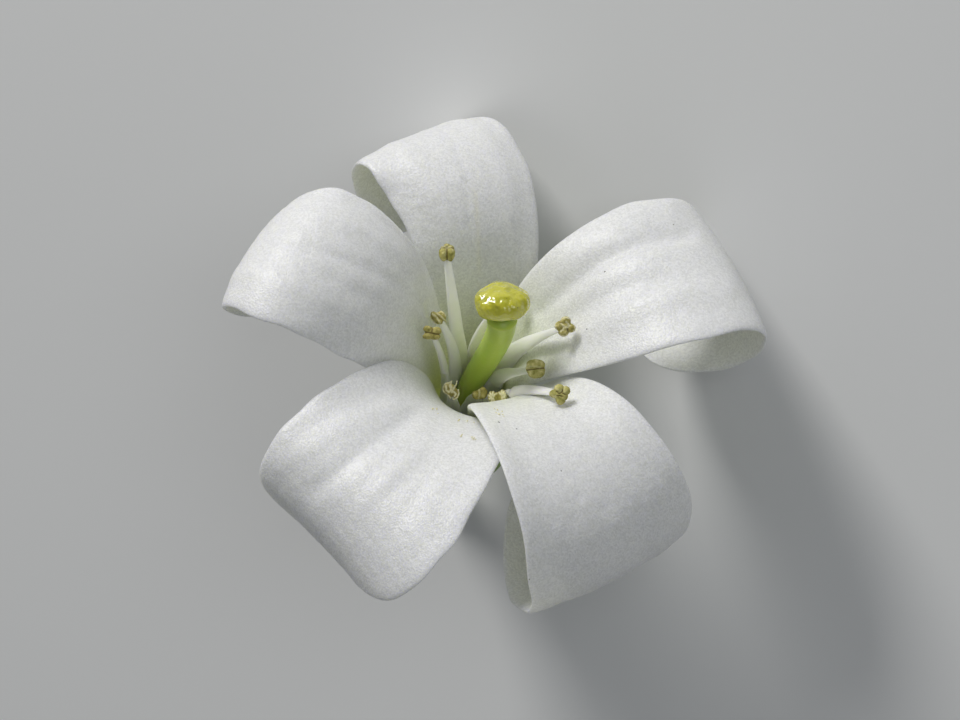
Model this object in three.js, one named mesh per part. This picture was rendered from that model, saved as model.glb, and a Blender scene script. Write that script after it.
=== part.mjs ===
// One open murraya flower as picked, lying on two of its petals and the cut end of its
// short stalk. Millimetres, +Z up. The flower is drawn around its own axis first (stalk
// below, stigma above) and then turned into its resting pose.
import * as THREE from 'three';
import { mergeVertices } from 'three/addons/utils/BufferGeometryUtils.js';

// ---- driving dimensions (mm, degrees) ----
const PETAL_THICKNESS = 0.26;      // in the middle of the blade
const PETAL_EDGE_THICKNESS = 0.18; // along the margin
const PETAL_ROWS = 28;             // along the blade
const PETAL_COLS = 10;             // across the blade
const PETAL_SEAT = -0.145;         // height of the petals' cut-off bases on the disc

const FILAMENT_AT = [0, 0.2, 0.45, 0.75, 1];               // along the filament
const FILAMENT_WIDTH = [0.46, 0.49, 0.46, 0.4, 0.33];       // flattened, widest low down
const FILAMENT_BASE_DEPTH = 0.16;
const FILAMENT_TIP_DEPTH = 0.14;

const ANTHER_WIDTH = 0.66;
const ANTHER_LENGTH = 0.72;
const ANTHER_DEPTH = 0.5;
const ANTHER_GAP = 0.03;

const OVARY_RADIUS = 0.56;
const STYLE_RADIUS = 0.5;
const STIGMA_HALF = [1.04, 0.98, 0.55];  // half width, half breadth, half height
const STIGMA_AXIS = [-0.285, 0.419, 0.862]; // the cap nods a little to one side
const STIGMA_CENTRE = [-0.14, 0.02, 10.46];

const STALK_LENGTH = 3.4;          // cut end to the flare under the flower
const STALK_RADIUS = 0.5;
const DISC_RADIUS = 1.62;          // seat of the petals
const NECTARY_RADIUS = 1.05;
const NECTARY_TOP = 0.48;

const CALYX_LOBES = 5;
const CALYX_THICKNESS = 0.22;
const CALYX_LOBE_TOP = 1.25;
const CALYX_NOTCH_TOP = 0.3;
const CALYX_TURN = 66;             // azimuth of one lobe tip

// Each petal: where it leaves the disc (azimuth, distance r0, height z0, roll about its
// own length), its length, the angle of its midline from the flower's axis at the
// fractions PSI_AT of its length, the slant of its folds, its sideways sway, its
// curvature across, its half widths either side of the midline, and how far its two
// edges lift over (+) or tuck under (-) the neighbouring petals low down.
const PSI_AT = [0, 0.2, 0.32, 0.44, 0.56, 0.68, 0.8, 0.9, 1];
const OBLIQUE_AT = [0, 0.25, 0.5, 0.75, 1];
const SWAY_AT = [0, 0.25, 0.6, 1];
const CUP_AT = [0, 0.25, 0.45, 0.7, 1];
const LIFT_AT = [0, 0.14, 0.28, 0.42, 0.56, 0.7];
const PETALS = [
  { name: 'petal_1', azimuth: 104.54, length: 19.87, roll: 11.79, r0: 1.47, z0: -0.002, psi: [2.2, 14.6, 28.3, 55.7, 93.6, 130.2, 176.0, 210.3, 242.5], oblique: [0, 0, 8.93, -9.27, -9.78], sway: [0, 0, 0.0551, 0.0323], cup: [0.289, 0.289, -0.084, -0.05, 0.044], wPlus: 3.108, wMinus: 2.939, tMax: 0.684, wBase: 1.05, tipPower: 1.688, flarePower: 1.002, liftPlus: [-0.235, -0.394, -0.417, -0.225, -0.379, 0], liftMinus: [0.38, 0.432, 0.357, -0.018, -0.218, 0] },
  { name: 'petal_2', azimuth: 185.27, length: 19.64, roll: -5.31, r0: 1.417, z0: 0.032, psi: [3.5, 9.5, 14.1, 24.3, 57.2, 91.2, 145.7, 195.3, 244.4], oblique: [0, 0, 4.62, 3.99, -17.95], sway: [0, 0, -0.03, -0.1644], cup: [0.073, 0.073, -0.102, -0.096, -0.097], wPlus: 4.011, wMinus: 2.564, tMax: 0.71, wBase: 0.848, tipPower: 1.303, flarePower: 0.937, liftPlus: [0.05, 0.055, 0.061, -0.167, -0.103, 0], liftMinus: [0.392, 0.3, 0.002, -0.178, -0.275, 0] },
  { name: 'petal_3', azimuth: 257.21, length: 17.47, roll: 1.05, r0: 1.415, z0: -0.028, psi: [0.9, 10.8, 21.1, 32.9, 56.0, 79.7, 107.0, 151.7, 197.2], oblique: [0, 0, 6.2, 0.52, 22.95], sway: [0, 0, -0.0589, 0.0695], cup: [0.516, 0.516, 0.311, 0.036, 0.062], wPlus: 3.972, wMinus: 3.728, tMax: 0.828, wBase: 0.779, tipPower: 2.429, flarePower: 1.122, liftPlus: [-0.143, -0.117, -0.076, -0.058, -0.015, 0], liftMinus: [0.027, 0.131, 0.165, 0.117, 0.19, 0] },
  { name: 'petal_4', azimuth: 317.84, length: 24.23, roll: -8.42, r0: 1.418, z0: -0.017, psi: [-2.0, 9.3, 24.5, 54.3, 89.8, 138.9, 220.4, 261.6, 287.7], oblique: [0, 0, -3.52, 3.36, 3.42], sway: [0, 0, 0.045, -0.1901], cup: [0.13, 0.13, 0.187, -0.042, 0.024], wPlus: 2.963, wMinus: 4.165, tMax: 0.685, wBase: 0.717, tipPower: 2.435, flarePower: 1.155, liftPlus: [0.08, -0.026, 0.042, 0.006, -0.1, 0], liftMinus: [0.329, 0.311, 0.064, -0.105, -0.185, 0] },
  { name: 'petal_5', azimuth: 36.77, length: 22.92, roll: -4.19, r0: 1.392, z0: 0.006, psi: [-4.2, -0.3, 17.8, 42.1, 73.4, 117.8, 185.3, 229.0, 271.9], oblique: [0, 0, -9.33, 4.77, -1.14], sway: [0, 0, 0.0374, -0.1271], cup: [0.402, 0.402, 0.075, -0.027, -0.085], wPlus: 2.974, wMinus: 3.805, tMax: 0.617, wBase: 0.716, tipPower: 1.993, flarePower: 1.221, liftPlus: [0.28, 0.065, -0.076, -0.095, -0.245, 0], liftMinus: [0.05, -0.012, -0.084, -0.23, -0.004, 0] },
];

// Midlines of the ten filaments, each a cubic from the disc to the anther.
const FILAMENTS = [
  [[-0.63, 0.69, 0.62], [-0.66, 0.72, 3.43], [-1.08, -0.38, 7.03], [-2.53, 1.56, 9.51]],
  [[-0.9, 0.22, 0.62], [-0.98, 0.13, 3.4], [-0.84, -0.31, 6.1], [-2.1, -0.05, 7.98]],
  [[-0.87, -0.32, 0.62], [-0.91, -0.33, 3.72], [-1.34, -0.58, 5.99], [-2.09, -1.05, 8.42]],
  [[-0.49, -0.79, 0.62], [-0.52, -0.83, 3.07], [-0.54, -1.41, 4.53], [-0.85, -1.93, 6.59]],
  [[0.07, -0.93, 0.62], [0.07, -0.95, 3.14], [-0.1, -0.71, 3.67], [0.13, -1.21, 5.71]],
  [[0.59, -0.72, 0.62], [0.68, -0.66, 2.67], [0.37, -0.82, 4.45], [0.65, -1.19, 6.04]],
  [[0.9, -0.24, 0.62], [0.95, -0.21, 4.24], [0.75, -1.18, 6.98], [2.67, -2.48, 9.95]],
  [[0.87, 0.32, 0.62], [0.88, 0.33, 4.1], [-0.25, 0.0, 4.66], [1.6, -0.98, 8.18]],
  [[0.5, 0.79, 0.62], [0.51, 0.81, 4.01], [0.16, 0.34, 6.22], [2.11, 0.17, 9.71]],
  [[-0.1, 0.92, 0.62], [-0.03, 1.02, 3.4], [-1.57, 0.45, 4.95], [0.03, 1.46, 8.06]],
];

// Midline of the ovary and style: x, y, z and radius.
const STYLE_LINE = [
  [0, 0, 0.55, 0.5], [-0.02, 0, 0.9, 0.55], [-0.05, 0, 1.3, OVARY_RADIUS], [-0.12, 0, 1.9, 0.48],
  [-0.2, 0, 2.5, 0.42], [-0.28, 0, 3.3, 0.42], [-0.22, 0, 4.4, 0.45], [-0.03, 0, 6.15, 0.48],
  [0.1, -0.06, 7.6, STYLE_RADIUS], [0.13, -0.22, 9.0, STYLE_RADIUS], [0.03, -0.25, 9.84, 0.5],
];

// Resting pose: the direction that points up, and the side that faces forward (-Y),
// both given in the flower's own axes.
const REST_UP = [-0.3959, -0.7243, 0.5645];
const REST_FRONT = [0.0, -0.492, 0.8706];

// ---- small helpers ----
const rad = (a) => (a * Math.PI) / 180;
const clamp = (v, a, b) => Math.min(b, Math.max(a, v));
const vec = (a) => new THREE.Vector3(a[0], a[1], a[2]);

// Smooth curve through the given values, level slopes kept in proportion to the spacing.
function smooth(xs, ys, x) {
  const n = xs.length;
  const slope = [];
  const seg = [];
  for (let i = 0; i < n - 1; i++) seg.push((ys[i + 1] - ys[i]) / (xs[i + 1] - xs[i]));
  slope[0] = seg[0];
  slope[n - 1] = seg[n - 2];
  for (let i = 1; i < n - 1; i++) {
    const a = xs[i] - xs[i - 1];
    const b = xs[i + 1] - xs[i];
    slope[i] = (seg[i - 1] * b + seg[i] * a) / (a + b);
  }
  if (x > xs[n - 1]) return ys[n - 1] + (x - xs[n - 1]) * slope[n - 1];
  if (x < xs[0]) return ys[0] + (x - xs[0]) * slope[0];
  let i = 0;
  while (i < n - 2 && x >= xs[i + 1]) i++;
  const h = xs[i + 1] - xs[i];
  const t = (x - xs[i]) / h;
  return (2 * t ** 3 - 3 * t * t + 1) * ys[i] + (t ** 3 - 2 * t * t + t) * h * slope[i]
    + (-2 * t ** 3 + 3 * t * t) * ys[i + 1] + (t ** 3 - t * t) * h * slope[i + 1];
}

function lerpAt(table, x0, dx, x) {
  const k = clamp((x - x0) / dx, 0, table.length - 1.0001);
  const i = Math.floor(k);
  return [i, k - i];
}

function closedMesh(positions, triangles) {
  const g = new THREE.BufferGeometry();
  const flat = new Float32Array(triangles.length * 3);
  triangles.forEach((v, k) => positions[v].toArray(flat, k * 3));
  g.setAttribute('position', new THREE.BufferAttribute(flat, 3));
  const merged = mergeVertices(g, 1e-3);
  merged.computeVertexNormals();
  return merged;
}

// ---- petals ----
function petalHalfWidth(p, t, side) {
  const full = side > 0 ? p.wPlus : p.wMinus;
  if (t < p.tMax) {
    const s = Math.pow(clamp(t / p.tMax, 0, 1), p.flarePower);
    return p.wBase + (full - p.wBase) * s * s * (3 - 2 * s);
  }
  const b = clamp((t - p.tMax) / (1 - p.tMax), 0, 1);
  return full * Math.sqrt(Math.max(0, 1 - Math.pow(b, p.tipPower)));
}

// Frames along the midline: the tangent, the direction across, and the upper normal,
// turned step by step about the slanting fold lines.
function petalSpine(p) {
  const n = 96;
  const s0 = -0.09 * p.length;
  const ds = (1.3 * p.length - s0) / (n - 1);
  const up = new THREE.Vector3(0, 0, 1);
  const out = new THREE.Vector3(Math.cos(rad(p.azimuth)), Math.sin(rad(p.azimuth)), 0);
  const psi = [];
  const slant = [];
  const sway = [];
  for (let i = 0; i < n; i++) {
    const t = (s0 + i * ds) / p.length;
    psi.push(rad(smooth(PSI_AT, p.psi, t)));
    slant.push(Math.tan(rad(smooth(OBLIQUE_AT, p.oblique, t))));
    sway.push(smooth(SWAY_AT, p.sway, t));
  }
  const T = up.clone().multiplyScalar(Math.cos(psi[0])).addScaledVector(out, Math.sin(psi[0]));
  const B = new THREE.Vector3(-Math.sin(rad(p.azimuth)), Math.cos(rad(p.azimuth)), 0);
  const N = new THREE.Vector3().crossVectors(T, B);
  B.multiplyScalar(Math.cos(rad(p.roll))).addScaledVector(N, Math.sin(rad(p.roll)));
  N.crossVectors(T, B);
  const frames = [{ T: T.clone(), B: B.clone(), N: N.clone() }];
  const centre = [new THREE.Vector3()];
  for (let i = 1; i < n; i++) {
    const f = frames[i - 1];
    const turn = f.B.clone().addScaledVector(f.T, 0.5 * (slant[i] + slant[i - 1]))
      .multiplyScalar(psi[i] - psi[i - 1])
      .addScaledVector(f.N, 0.5 * (sway[i] + sway[i - 1]) * ds);
    const angle = turn.length();
    const axis = turn.normalize();
    const g = {
      T: f.T.clone().applyAxisAngle(axis, angle),
      B: f.B.clone().applyAxisAngle(axis, angle),
      N: f.N.clone().applyAxisAngle(axis, angle),
    };
    frames.push(g);
    centre.push(centre[i - 1].clone().addScaledVector(f.T, ds / 2).addScaledVector(g.T, ds / 2));
  }
  const [i0, f0] = lerpAt(centre, s0, ds, 0);
  const shift = centre[i0].clone().lerp(centre[i0 + 1], f0).negate()
    .addScaledVector(out, p.r0).add(new THREE.Vector3(0, 0, p.z0));
  centre.forEach((c) => c.add(shift));
  return { s0, ds, frames, centre, slant };
}

function petalPoint(p, sp, t, v) {
  const u = t * p.length;
  const lateral = v * petalHalfWidth(p, t, v);
  let s = u;
  for (let k = 0; k < 4; k++) {
    const [i, f] = lerpAt(sp.slant, sp.s0, sp.ds, s);
    s = u - lateral * (sp.slant[i] * (1 - f) + sp.slant[i + 1] * f);
  }
  const [i, f] = lerpAt(sp.centre, sp.s0, sp.ds, s);
  const a = sp.frames[i];
  const b = sp.frames[i + 1];
  const T = a.T.clone().lerp(b.T, f);
  const B = a.B.clone().lerp(b.B, f);
  const N = a.N.clone().lerp(b.N, f);
  const slant = sp.slant[i] * (1 - f) + sp.slant[i + 1] * f;
  let c = smooth(CUP_AT, p.cup, s / p.length);
  if (Math.abs(c) < 1e-4) c = 1e-4;
  const bend = clamp(c * lateral, -2.6, 2.6);
  const point = sp.centre[i].clone().lerp(sp.centre[i + 1], f)
    .addScaledVector(B, Math.sin(bend) / c)
    .addScaledVector(T, (slant * Math.sin(bend)) / c)
    .addScaledVector(N, (1 - Math.cos(bend)) / c);
  const [j, g] = lerpAt(sp.centre, sp.s0, sp.ds, u);
  const NU = sp.frames[j].N.clone().lerp(sp.frames[j + 1].N, g);
  const lift = t < 0.7 ? smooth(LIFT_AT, v > 0 ? p.liftPlus : p.liftMinus, Math.max(0, t)) : 0;
  return point.addScaledVector(NU, lift * v * v);
}

function petalGeometry(p) {
  const sp = petalSpine(p);
  const R = PETAL_ROWS;
  const C = PETAL_COLS;
  const upper = [];
  const lower = [];
  const e = 1e-3;
  const t0 = Math.min(0, (PETAL_SEAT - p.z0) / p.length);
  for (let i = 0; i <= R; i++) {
    const t = Math.min(0.9985, t0 + (1 - t0) * (1 - Math.pow(1 - i / R, 1.35)));
    for (let j = 0; j <= C; j++) {
      const v = -1 + (2 * j) / C;
      const m = petalPoint(p, sp, t, v);
      const du = petalPoint(p, sp, Math.min(0.9985, t + e), v).sub(petalPoint(p, sp, t - e, v));
      const dv = petalPoint(p, sp, t, Math.min(1, v + e)).sub(petalPoint(p, sp, t, Math.max(-1, v - e)));
      const n = du.cross(dv).normalize();
      const edge = Math.max(Math.pow(Math.abs(v), 6), Math.pow(t, 20));
      const half = 0.5 * (PETAL_THICKNESS + (PETAL_EDGE_THICKNESS - PETAL_THICKNESS) * edge);
      upper.push(m.clone().addScaledVector(n, half));
      lower.push(m.clone().addScaledVector(n, -half));
    }
  }
  const tri = [];
  const at = (i, j) => i * (C + 1) + j;
  const off = upper.length;
  for (let i = 0; i < R; i++) {
    for (let j = 0; j < C; j++) {
      const a = at(i, j);
      const b = at(i + 1, j);
      const c = at(i + 1, j + 1);
      const d = at(i, j + 1);
      tri.push(a, b, c, a, c, d);
      tri.push(off + a, off + c, off + b, off + a, off + d, off + c);
    }
    const a = at(i, 0);
    const b = at(i + 1, 0);
    tri.push(a, off + a, b, b, off + a, off + b);
    const c = at(i, C);
    const d = at(i + 1, C);
    tri.push(c, d, off + c, d, off + d, off + c);
  }
  for (let j = 0; j < C; j++) {
    const a = at(0, j);
    const b = at(0, j + 1);
    tri.push(a, b, off + a, b, off + b, off + a);
    const c = at(R, j);
    const d = at(R, j + 1);
    tri.push(c, off + c, d, d, off + c, off + d);
  }
  return closedMesh(upper.concat(lower), tri);
}

// ---- sweeps: an oval section carried along a line, closed at both ends ----
function sweep(centres, tangents, wides, halfWidths, halfDepths, sides) {
  const pts = [];
  const n = centres.length;
  for (let i = 0; i < n; i++) {
    const T = tangents[i].clone().normalize();
    const W = wides[i].clone().addScaledVector(T, -wides[i].dot(T)).normalize();
    const D = new THREE.Vector3().crossVectors(T, W);
    for (let k = 0; k < sides; k++) {
      const a = (2 * Math.PI * k) / sides;
      pts.push(centres[i].clone().addScaledVector(W, halfWidths[i] * Math.cos(a))
        .addScaledVector(D, halfDepths[i] * Math.sin(a)));
    }
  }
  const first = pts.push(centres[0].clone()) - 1;
  const last = pts.push(centres[n - 1].clone()) - 1;
  const tri = [];
  for (let k = 0; k < sides; k++) {
    const m = (k + 1) % sides;
    for (let i = 0; i < n - 1; i++) {
      const a = i * sides + k;
      const b = i * sides + m;
      const c = a + sides;
      const d = b + sides;
      tri.push(a, b, c, b, d, c);
    }
    tri.push(first, m, k);
    tri.push(last, (n - 1) * sides + k, (n - 1) * sides + m);
  }
  return closedMesh(pts, tri);
}

function filamentCurve(points) {
  return new THREE.CubicBezierCurve3(...points.map(vec));
}

function filamentGeometry(points) {
  const curve = filamentCurve(points);
  const steps = 11;
  const c = [];
  const t = [];
  const w = [];
  const hw = [];
  const hd = [];
  for (let i = 0; i <= steps; i++) {
    const k = i / steps;
    const q = curve.getPoint(k);
    c.push(q);
    t.push(curve.getTangent(k));
    w.push(new THREE.Vector3(-q.y, q.x, 0).normalize());
    const taper = Math.pow(k, 0.9);
    const s = taper * taper * (3 - 2 * taper);
    hw.push(0.5 * smooth(FILAMENT_AT, FILAMENT_WIDTH, k));
    hd.push(0.5 * (FILAMENT_BASE_DEPTH + (FILAMENT_TIP_DEPTH - FILAMENT_BASE_DEPTH) * s));
  }
  return sweep(c, t, w, hw, hd, 8);
}

// Two plump lobes side by side with a groove down the face.
function antherGeometry() {
  const g = new THREE.SphereGeometry(1, 14, 9);
  g.deleteAttribute('normal');
  g.deleteAttribute('uv');
  const m = mergeVertices(g, 1e-3);
  const p = m.getAttribute('position');
  for (let i = 0; i < p.count; i++) {
    const q = new THREE.Vector3().fromBufferAttribute(p, i);
    const groove = 1 - 0.24 * Math.exp(-((q.x / 0.34) ** 2)) * (q.y < 0 ? 0.55 + 0.45 * Math.abs(q.y) : 0.45);
    p.setXYZ(i, (q.x * ANTHER_WIDTH) / 2, (q.y * groove * ANTHER_DEPTH) / 2,
      (q.z * (0.9 + 0.1 * Math.abs(q.x)) * ANTHER_LENGTH) / 2);
  }
  m.computeVertexNormals();
  return m;
}

function styleGeometry() {
  const c = STYLE_LINE.map(vec);
  const curve = new THREE.CatmullRomCurve3(c, false, 'centripetal');
  const steps = 22;
  const centres = [];
  const tangents = [];
  const wides = [];
  const r = [];
  for (let i = 0; i <= steps; i++) {
    const k = i / steps;
    const q = curve.getPoint(k);
    centres.push(q);
    tangents.push(curve.getTangent(k));
    wides.push(new THREE.Vector3(1, 0, 0));
    r.push(smooth(STYLE_LINE.map((a, j) => j / (STYLE_LINE.length - 1)), STYLE_LINE.map((a) => a[3]), k));
  }
  return sweep(centres, tangents, wides, r, r, 16);
}

function stigmaGeometry() {
  const g = new THREE.SphereGeometry(1, 22, 14);
  g.rotateX(Math.PI / 2);
  g.deleteAttribute('normal');
  g.deleteAttribute('uv');
  const m = mergeVertices(g, 1e-3);
  const p = m.getAttribute('position');
  for (let i = 0; i < p.count; i++) {
    const q = new THREE.Vector3().fromBufferAttribute(p, i);
    const bump = 1 + 0.035 * Math.sin(5 * Math.atan2(q.y, q.x) + 1) * (1 - q.z * q.z);
    const z = q.z < 0 ? q.z * 0.8 : q.z;
    p.setXYZ(i, q.x * STIGMA_HALF[0] * bump, q.y * STIGMA_HALF[1] * bump, z * STIGMA_HALF[2]);
  }
  m.computeVertexNormals();
  return m;
}

// ---- stalk, disc and calyx ----
function stalkGeometry() {
  const z0 = -1.3 - STALK_LENGTH;
  const profile = [
    [0, z0], [STALK_RADIUS * 0.9, z0], [STALK_RADIUS, z0 + 0.08], [STALK_RADIUS * 0.96, z0 + STALK_LENGTH * 0.6],
    [STALK_RADIUS * 1.08, -1.5], [0.72, -1.15], [1.0, -0.78], [1.32, -0.48], [DISC_RADIUS, -0.28],
    [DISC_RADIUS, -0.23], [NECTARY_RADIUS, -0.21], [NECTARY_RADIUS, 0.3],
    [NECTARY_RADIUS - 0.12, NECTARY_TOP], [0, NECTARY_TOP],
  ].map((q) => new THREE.Vector2(q[0], q[1]));
  const g = new THREE.LatheGeometry(profile, 24);
  g.rotateX(Math.PI / 2);
  g.deleteAttribute('normal');
  g.deleteAttribute('uv');
  const m = mergeVertices(g, 1e-3);
  m.computeVertexNormals();
  return m;
}

function calyxGeometry() {
  const around = 50;
  const rows = 8;
  const pts = [];
  for (let k = 0; k < around; k++) {
    const a = (2 * Math.PI * k) / around;
    const wave = 0.5 + 0.5 * Math.cos(CALYX_LOBES * (a - rad(CALYX_TURN)));
    const top = CALYX_NOTCH_TOP + (CALYX_LOBE_TOP - CALYX_NOTCH_TOP) * Math.pow(wave, 1.6);
    // One petal leans out further than the others and pushes the cup out on its side.
    const push = Math.pow(0.5 + 0.5 * Math.cos(a - rad(171)), 2);
    for (let i = 0; i < rows; i++) {
      let r;
      let z;
      if (i < 3) {
        [r, z] = [[1.08, -0.82], [1.4, -0.54], [1.7 + 0.06 * push, -0.26]][i];
      } else {
        z = -0.05 + (top + 0.05) * ((i - 3) / (rows - 4));
        const h = Math.max(0, z);
        r = 1.75 + 0.05 * h + push * (0.13 + 0.17 * h) + 0.1 * Math.max(0, z - 0.6) ** 2;
      }
      const thick = CALYX_THICKNESS * (i === rows - 1 ? 0.55 : 1);
      const nr = i < 3 ? [0.6, 0.72, 0.9][i] : 0.98;
      const nz = i < 3 ? [-0.8, -0.69, -0.44][i] : -0.12;
      pts.push(new THREE.Vector3(r * Math.cos(a), r * Math.sin(a), z));
      pts.push(new THREE.Vector3((r + thick * nr) * Math.cos(a), (r + thick * nr) * Math.sin(a), z + thick * nz));
    }
  }
  const tri = [];
  const inn = (k, i) => ((k % around) * rows + i) * 2;
  const out = (k, i) => ((k % around) * rows + i) * 2 + 1;
  for (let k = 0; k < around; k++) {
    for (let i = 0; i < rows - 1; i++) {
      tri.push(inn(k, i), inn(k, i + 1), inn(k + 1, i), inn(k, i + 1), inn(k + 1, i + 1), inn(k + 1, i));
      tri.push(out(k, i), out(k + 1, i), out(k, i + 1), out(k, i + 1), out(k + 1, i), out(k + 1, i + 1));
    }
    tri.push(inn(k, 0), inn(k + 1, 0), out(k, 0), inn(k + 1, 0), out(k + 1, 0), out(k, 0));
    const r = rows - 1;
    tri.push(inn(k, r), out(k, r), inn(k + 1, r), inn(k + 1, r), out(k, r), out(k + 1, r));
  }
  return closedMesh(pts, tri);
}

// ---- assembly ----
const flower = new THREE.Group();
const paint = (color, roughness) => new THREE.MeshStandardMaterial({ color, roughness, metalness: 0 });
function add(name, geometry, color, roughness) {
  const mesh = new THREE.Mesh(geometry, paint(color, roughness));
  mesh.name = name;
  flower.add(mesh);
  return mesh;
}

PETALS.forEach((p) => add(p.name, petalGeometry(p), 0xf2f3ee, 0.6));

FILAMENTS.forEach((points, k) => {
  add(`filament_${k + 1}`, filamentGeometry(points), 0xdfe6cc, 0.5);
  const curve = filamentCurve(points);
  const end = curve.getPoint(1);
  const along = curve.getTangent(1).normalize();
  // The anther sits across the filament's tip, its grooved face away from the filament.
  const face = along.clone();
  const len = new THREE.Vector3(0, 0, 1).addScaledVector(face, -face.z).normalize();
  const wide = new THREE.Vector3().crossVectors(face.clone().negate(), len);
  const basis = new THREE.Matrix4().makeBasis(wide, face.clone().negate(), len);
  const anther = add(`anther_${k + 1}`, antherGeometry(), 0xa89b58, 0.7);
  anther.quaternion.setFromRotationMatrix(basis);
  anther.position.copy(end).addScaledVector(along, ANTHER_DEPTH / 2 + ANTHER_GAP);
});

add('style', styleGeometry(), 0x9fbf3e, 0.45);
const stigma = add('stigma', stigmaGeometry(), 0xc9bf3c, 0.25);
stigma.quaternion.setFromUnitVectors(new THREE.Vector3(0, 0, 1), vec(STIGMA_AXIS).normalize());
stigma.position.copy(vec(STIGMA_CENTRE));
add('stalk', stalkGeometry(), 0x7f9c4e, 0.6);
add('calyx', calyxGeometry(), 0x7fa25a, 0.6);

// Turn into the resting pose and set the lowest point on z = 0, centred.
const up = vec(REST_UP).normalize();
const front = vec(REST_FRONT);
front.addScaledVector(up, -front.dot(up)).normalize();
const yAxis = front.clone().negate();
const xAxis = new THREE.Vector3().crossVectors(yAxis, up);
const toRest = new THREE.Matrix4().makeBasis(xAxis, yAxis, up).transpose();
flower.quaternion.setFromRotationMatrix(toRest);
flower.updateMatrixWorld(true);
const box = new THREE.Box3();
flower.children.forEach((mesh) => {
  const pos = mesh.geometry.getAttribute('position');
  for (let i = 0; i < pos.count; i++) {
    box.expandByPoint(new THREE.Vector3().fromBufferAttribute(pos, i).applyMatrix4(mesh.matrixWorld));
  }
});
flower.position.set(-(box.min.x + box.max.x) / 2, -(box.min.y + box.max.y) / 2, -box.min.z);

const group = new THREE.Group();
group.add(flower);
group.updateMatrixWorld(true);

export default group;
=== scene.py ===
# A murraya flower as picked, lying on two of its petals and its cut stalk.
# The flower is built around its own axis in millimetres and then turned into the
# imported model's frame, in metres.
import math

import bmesh
import bpy
import numpy as np
from mathutils import Matrix, Vector


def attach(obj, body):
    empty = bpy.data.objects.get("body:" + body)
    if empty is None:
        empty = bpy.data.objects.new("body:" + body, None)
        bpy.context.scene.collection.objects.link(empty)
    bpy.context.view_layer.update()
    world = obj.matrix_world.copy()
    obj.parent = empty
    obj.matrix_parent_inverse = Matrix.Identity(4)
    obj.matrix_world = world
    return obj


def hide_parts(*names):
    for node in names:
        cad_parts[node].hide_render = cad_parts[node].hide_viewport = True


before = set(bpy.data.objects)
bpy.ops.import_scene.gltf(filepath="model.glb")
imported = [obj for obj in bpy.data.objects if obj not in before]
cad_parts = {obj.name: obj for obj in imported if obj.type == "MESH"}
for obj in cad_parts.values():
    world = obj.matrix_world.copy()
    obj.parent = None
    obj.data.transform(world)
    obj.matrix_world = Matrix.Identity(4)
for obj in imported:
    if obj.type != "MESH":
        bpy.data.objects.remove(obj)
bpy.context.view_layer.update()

MM = 0.001

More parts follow.
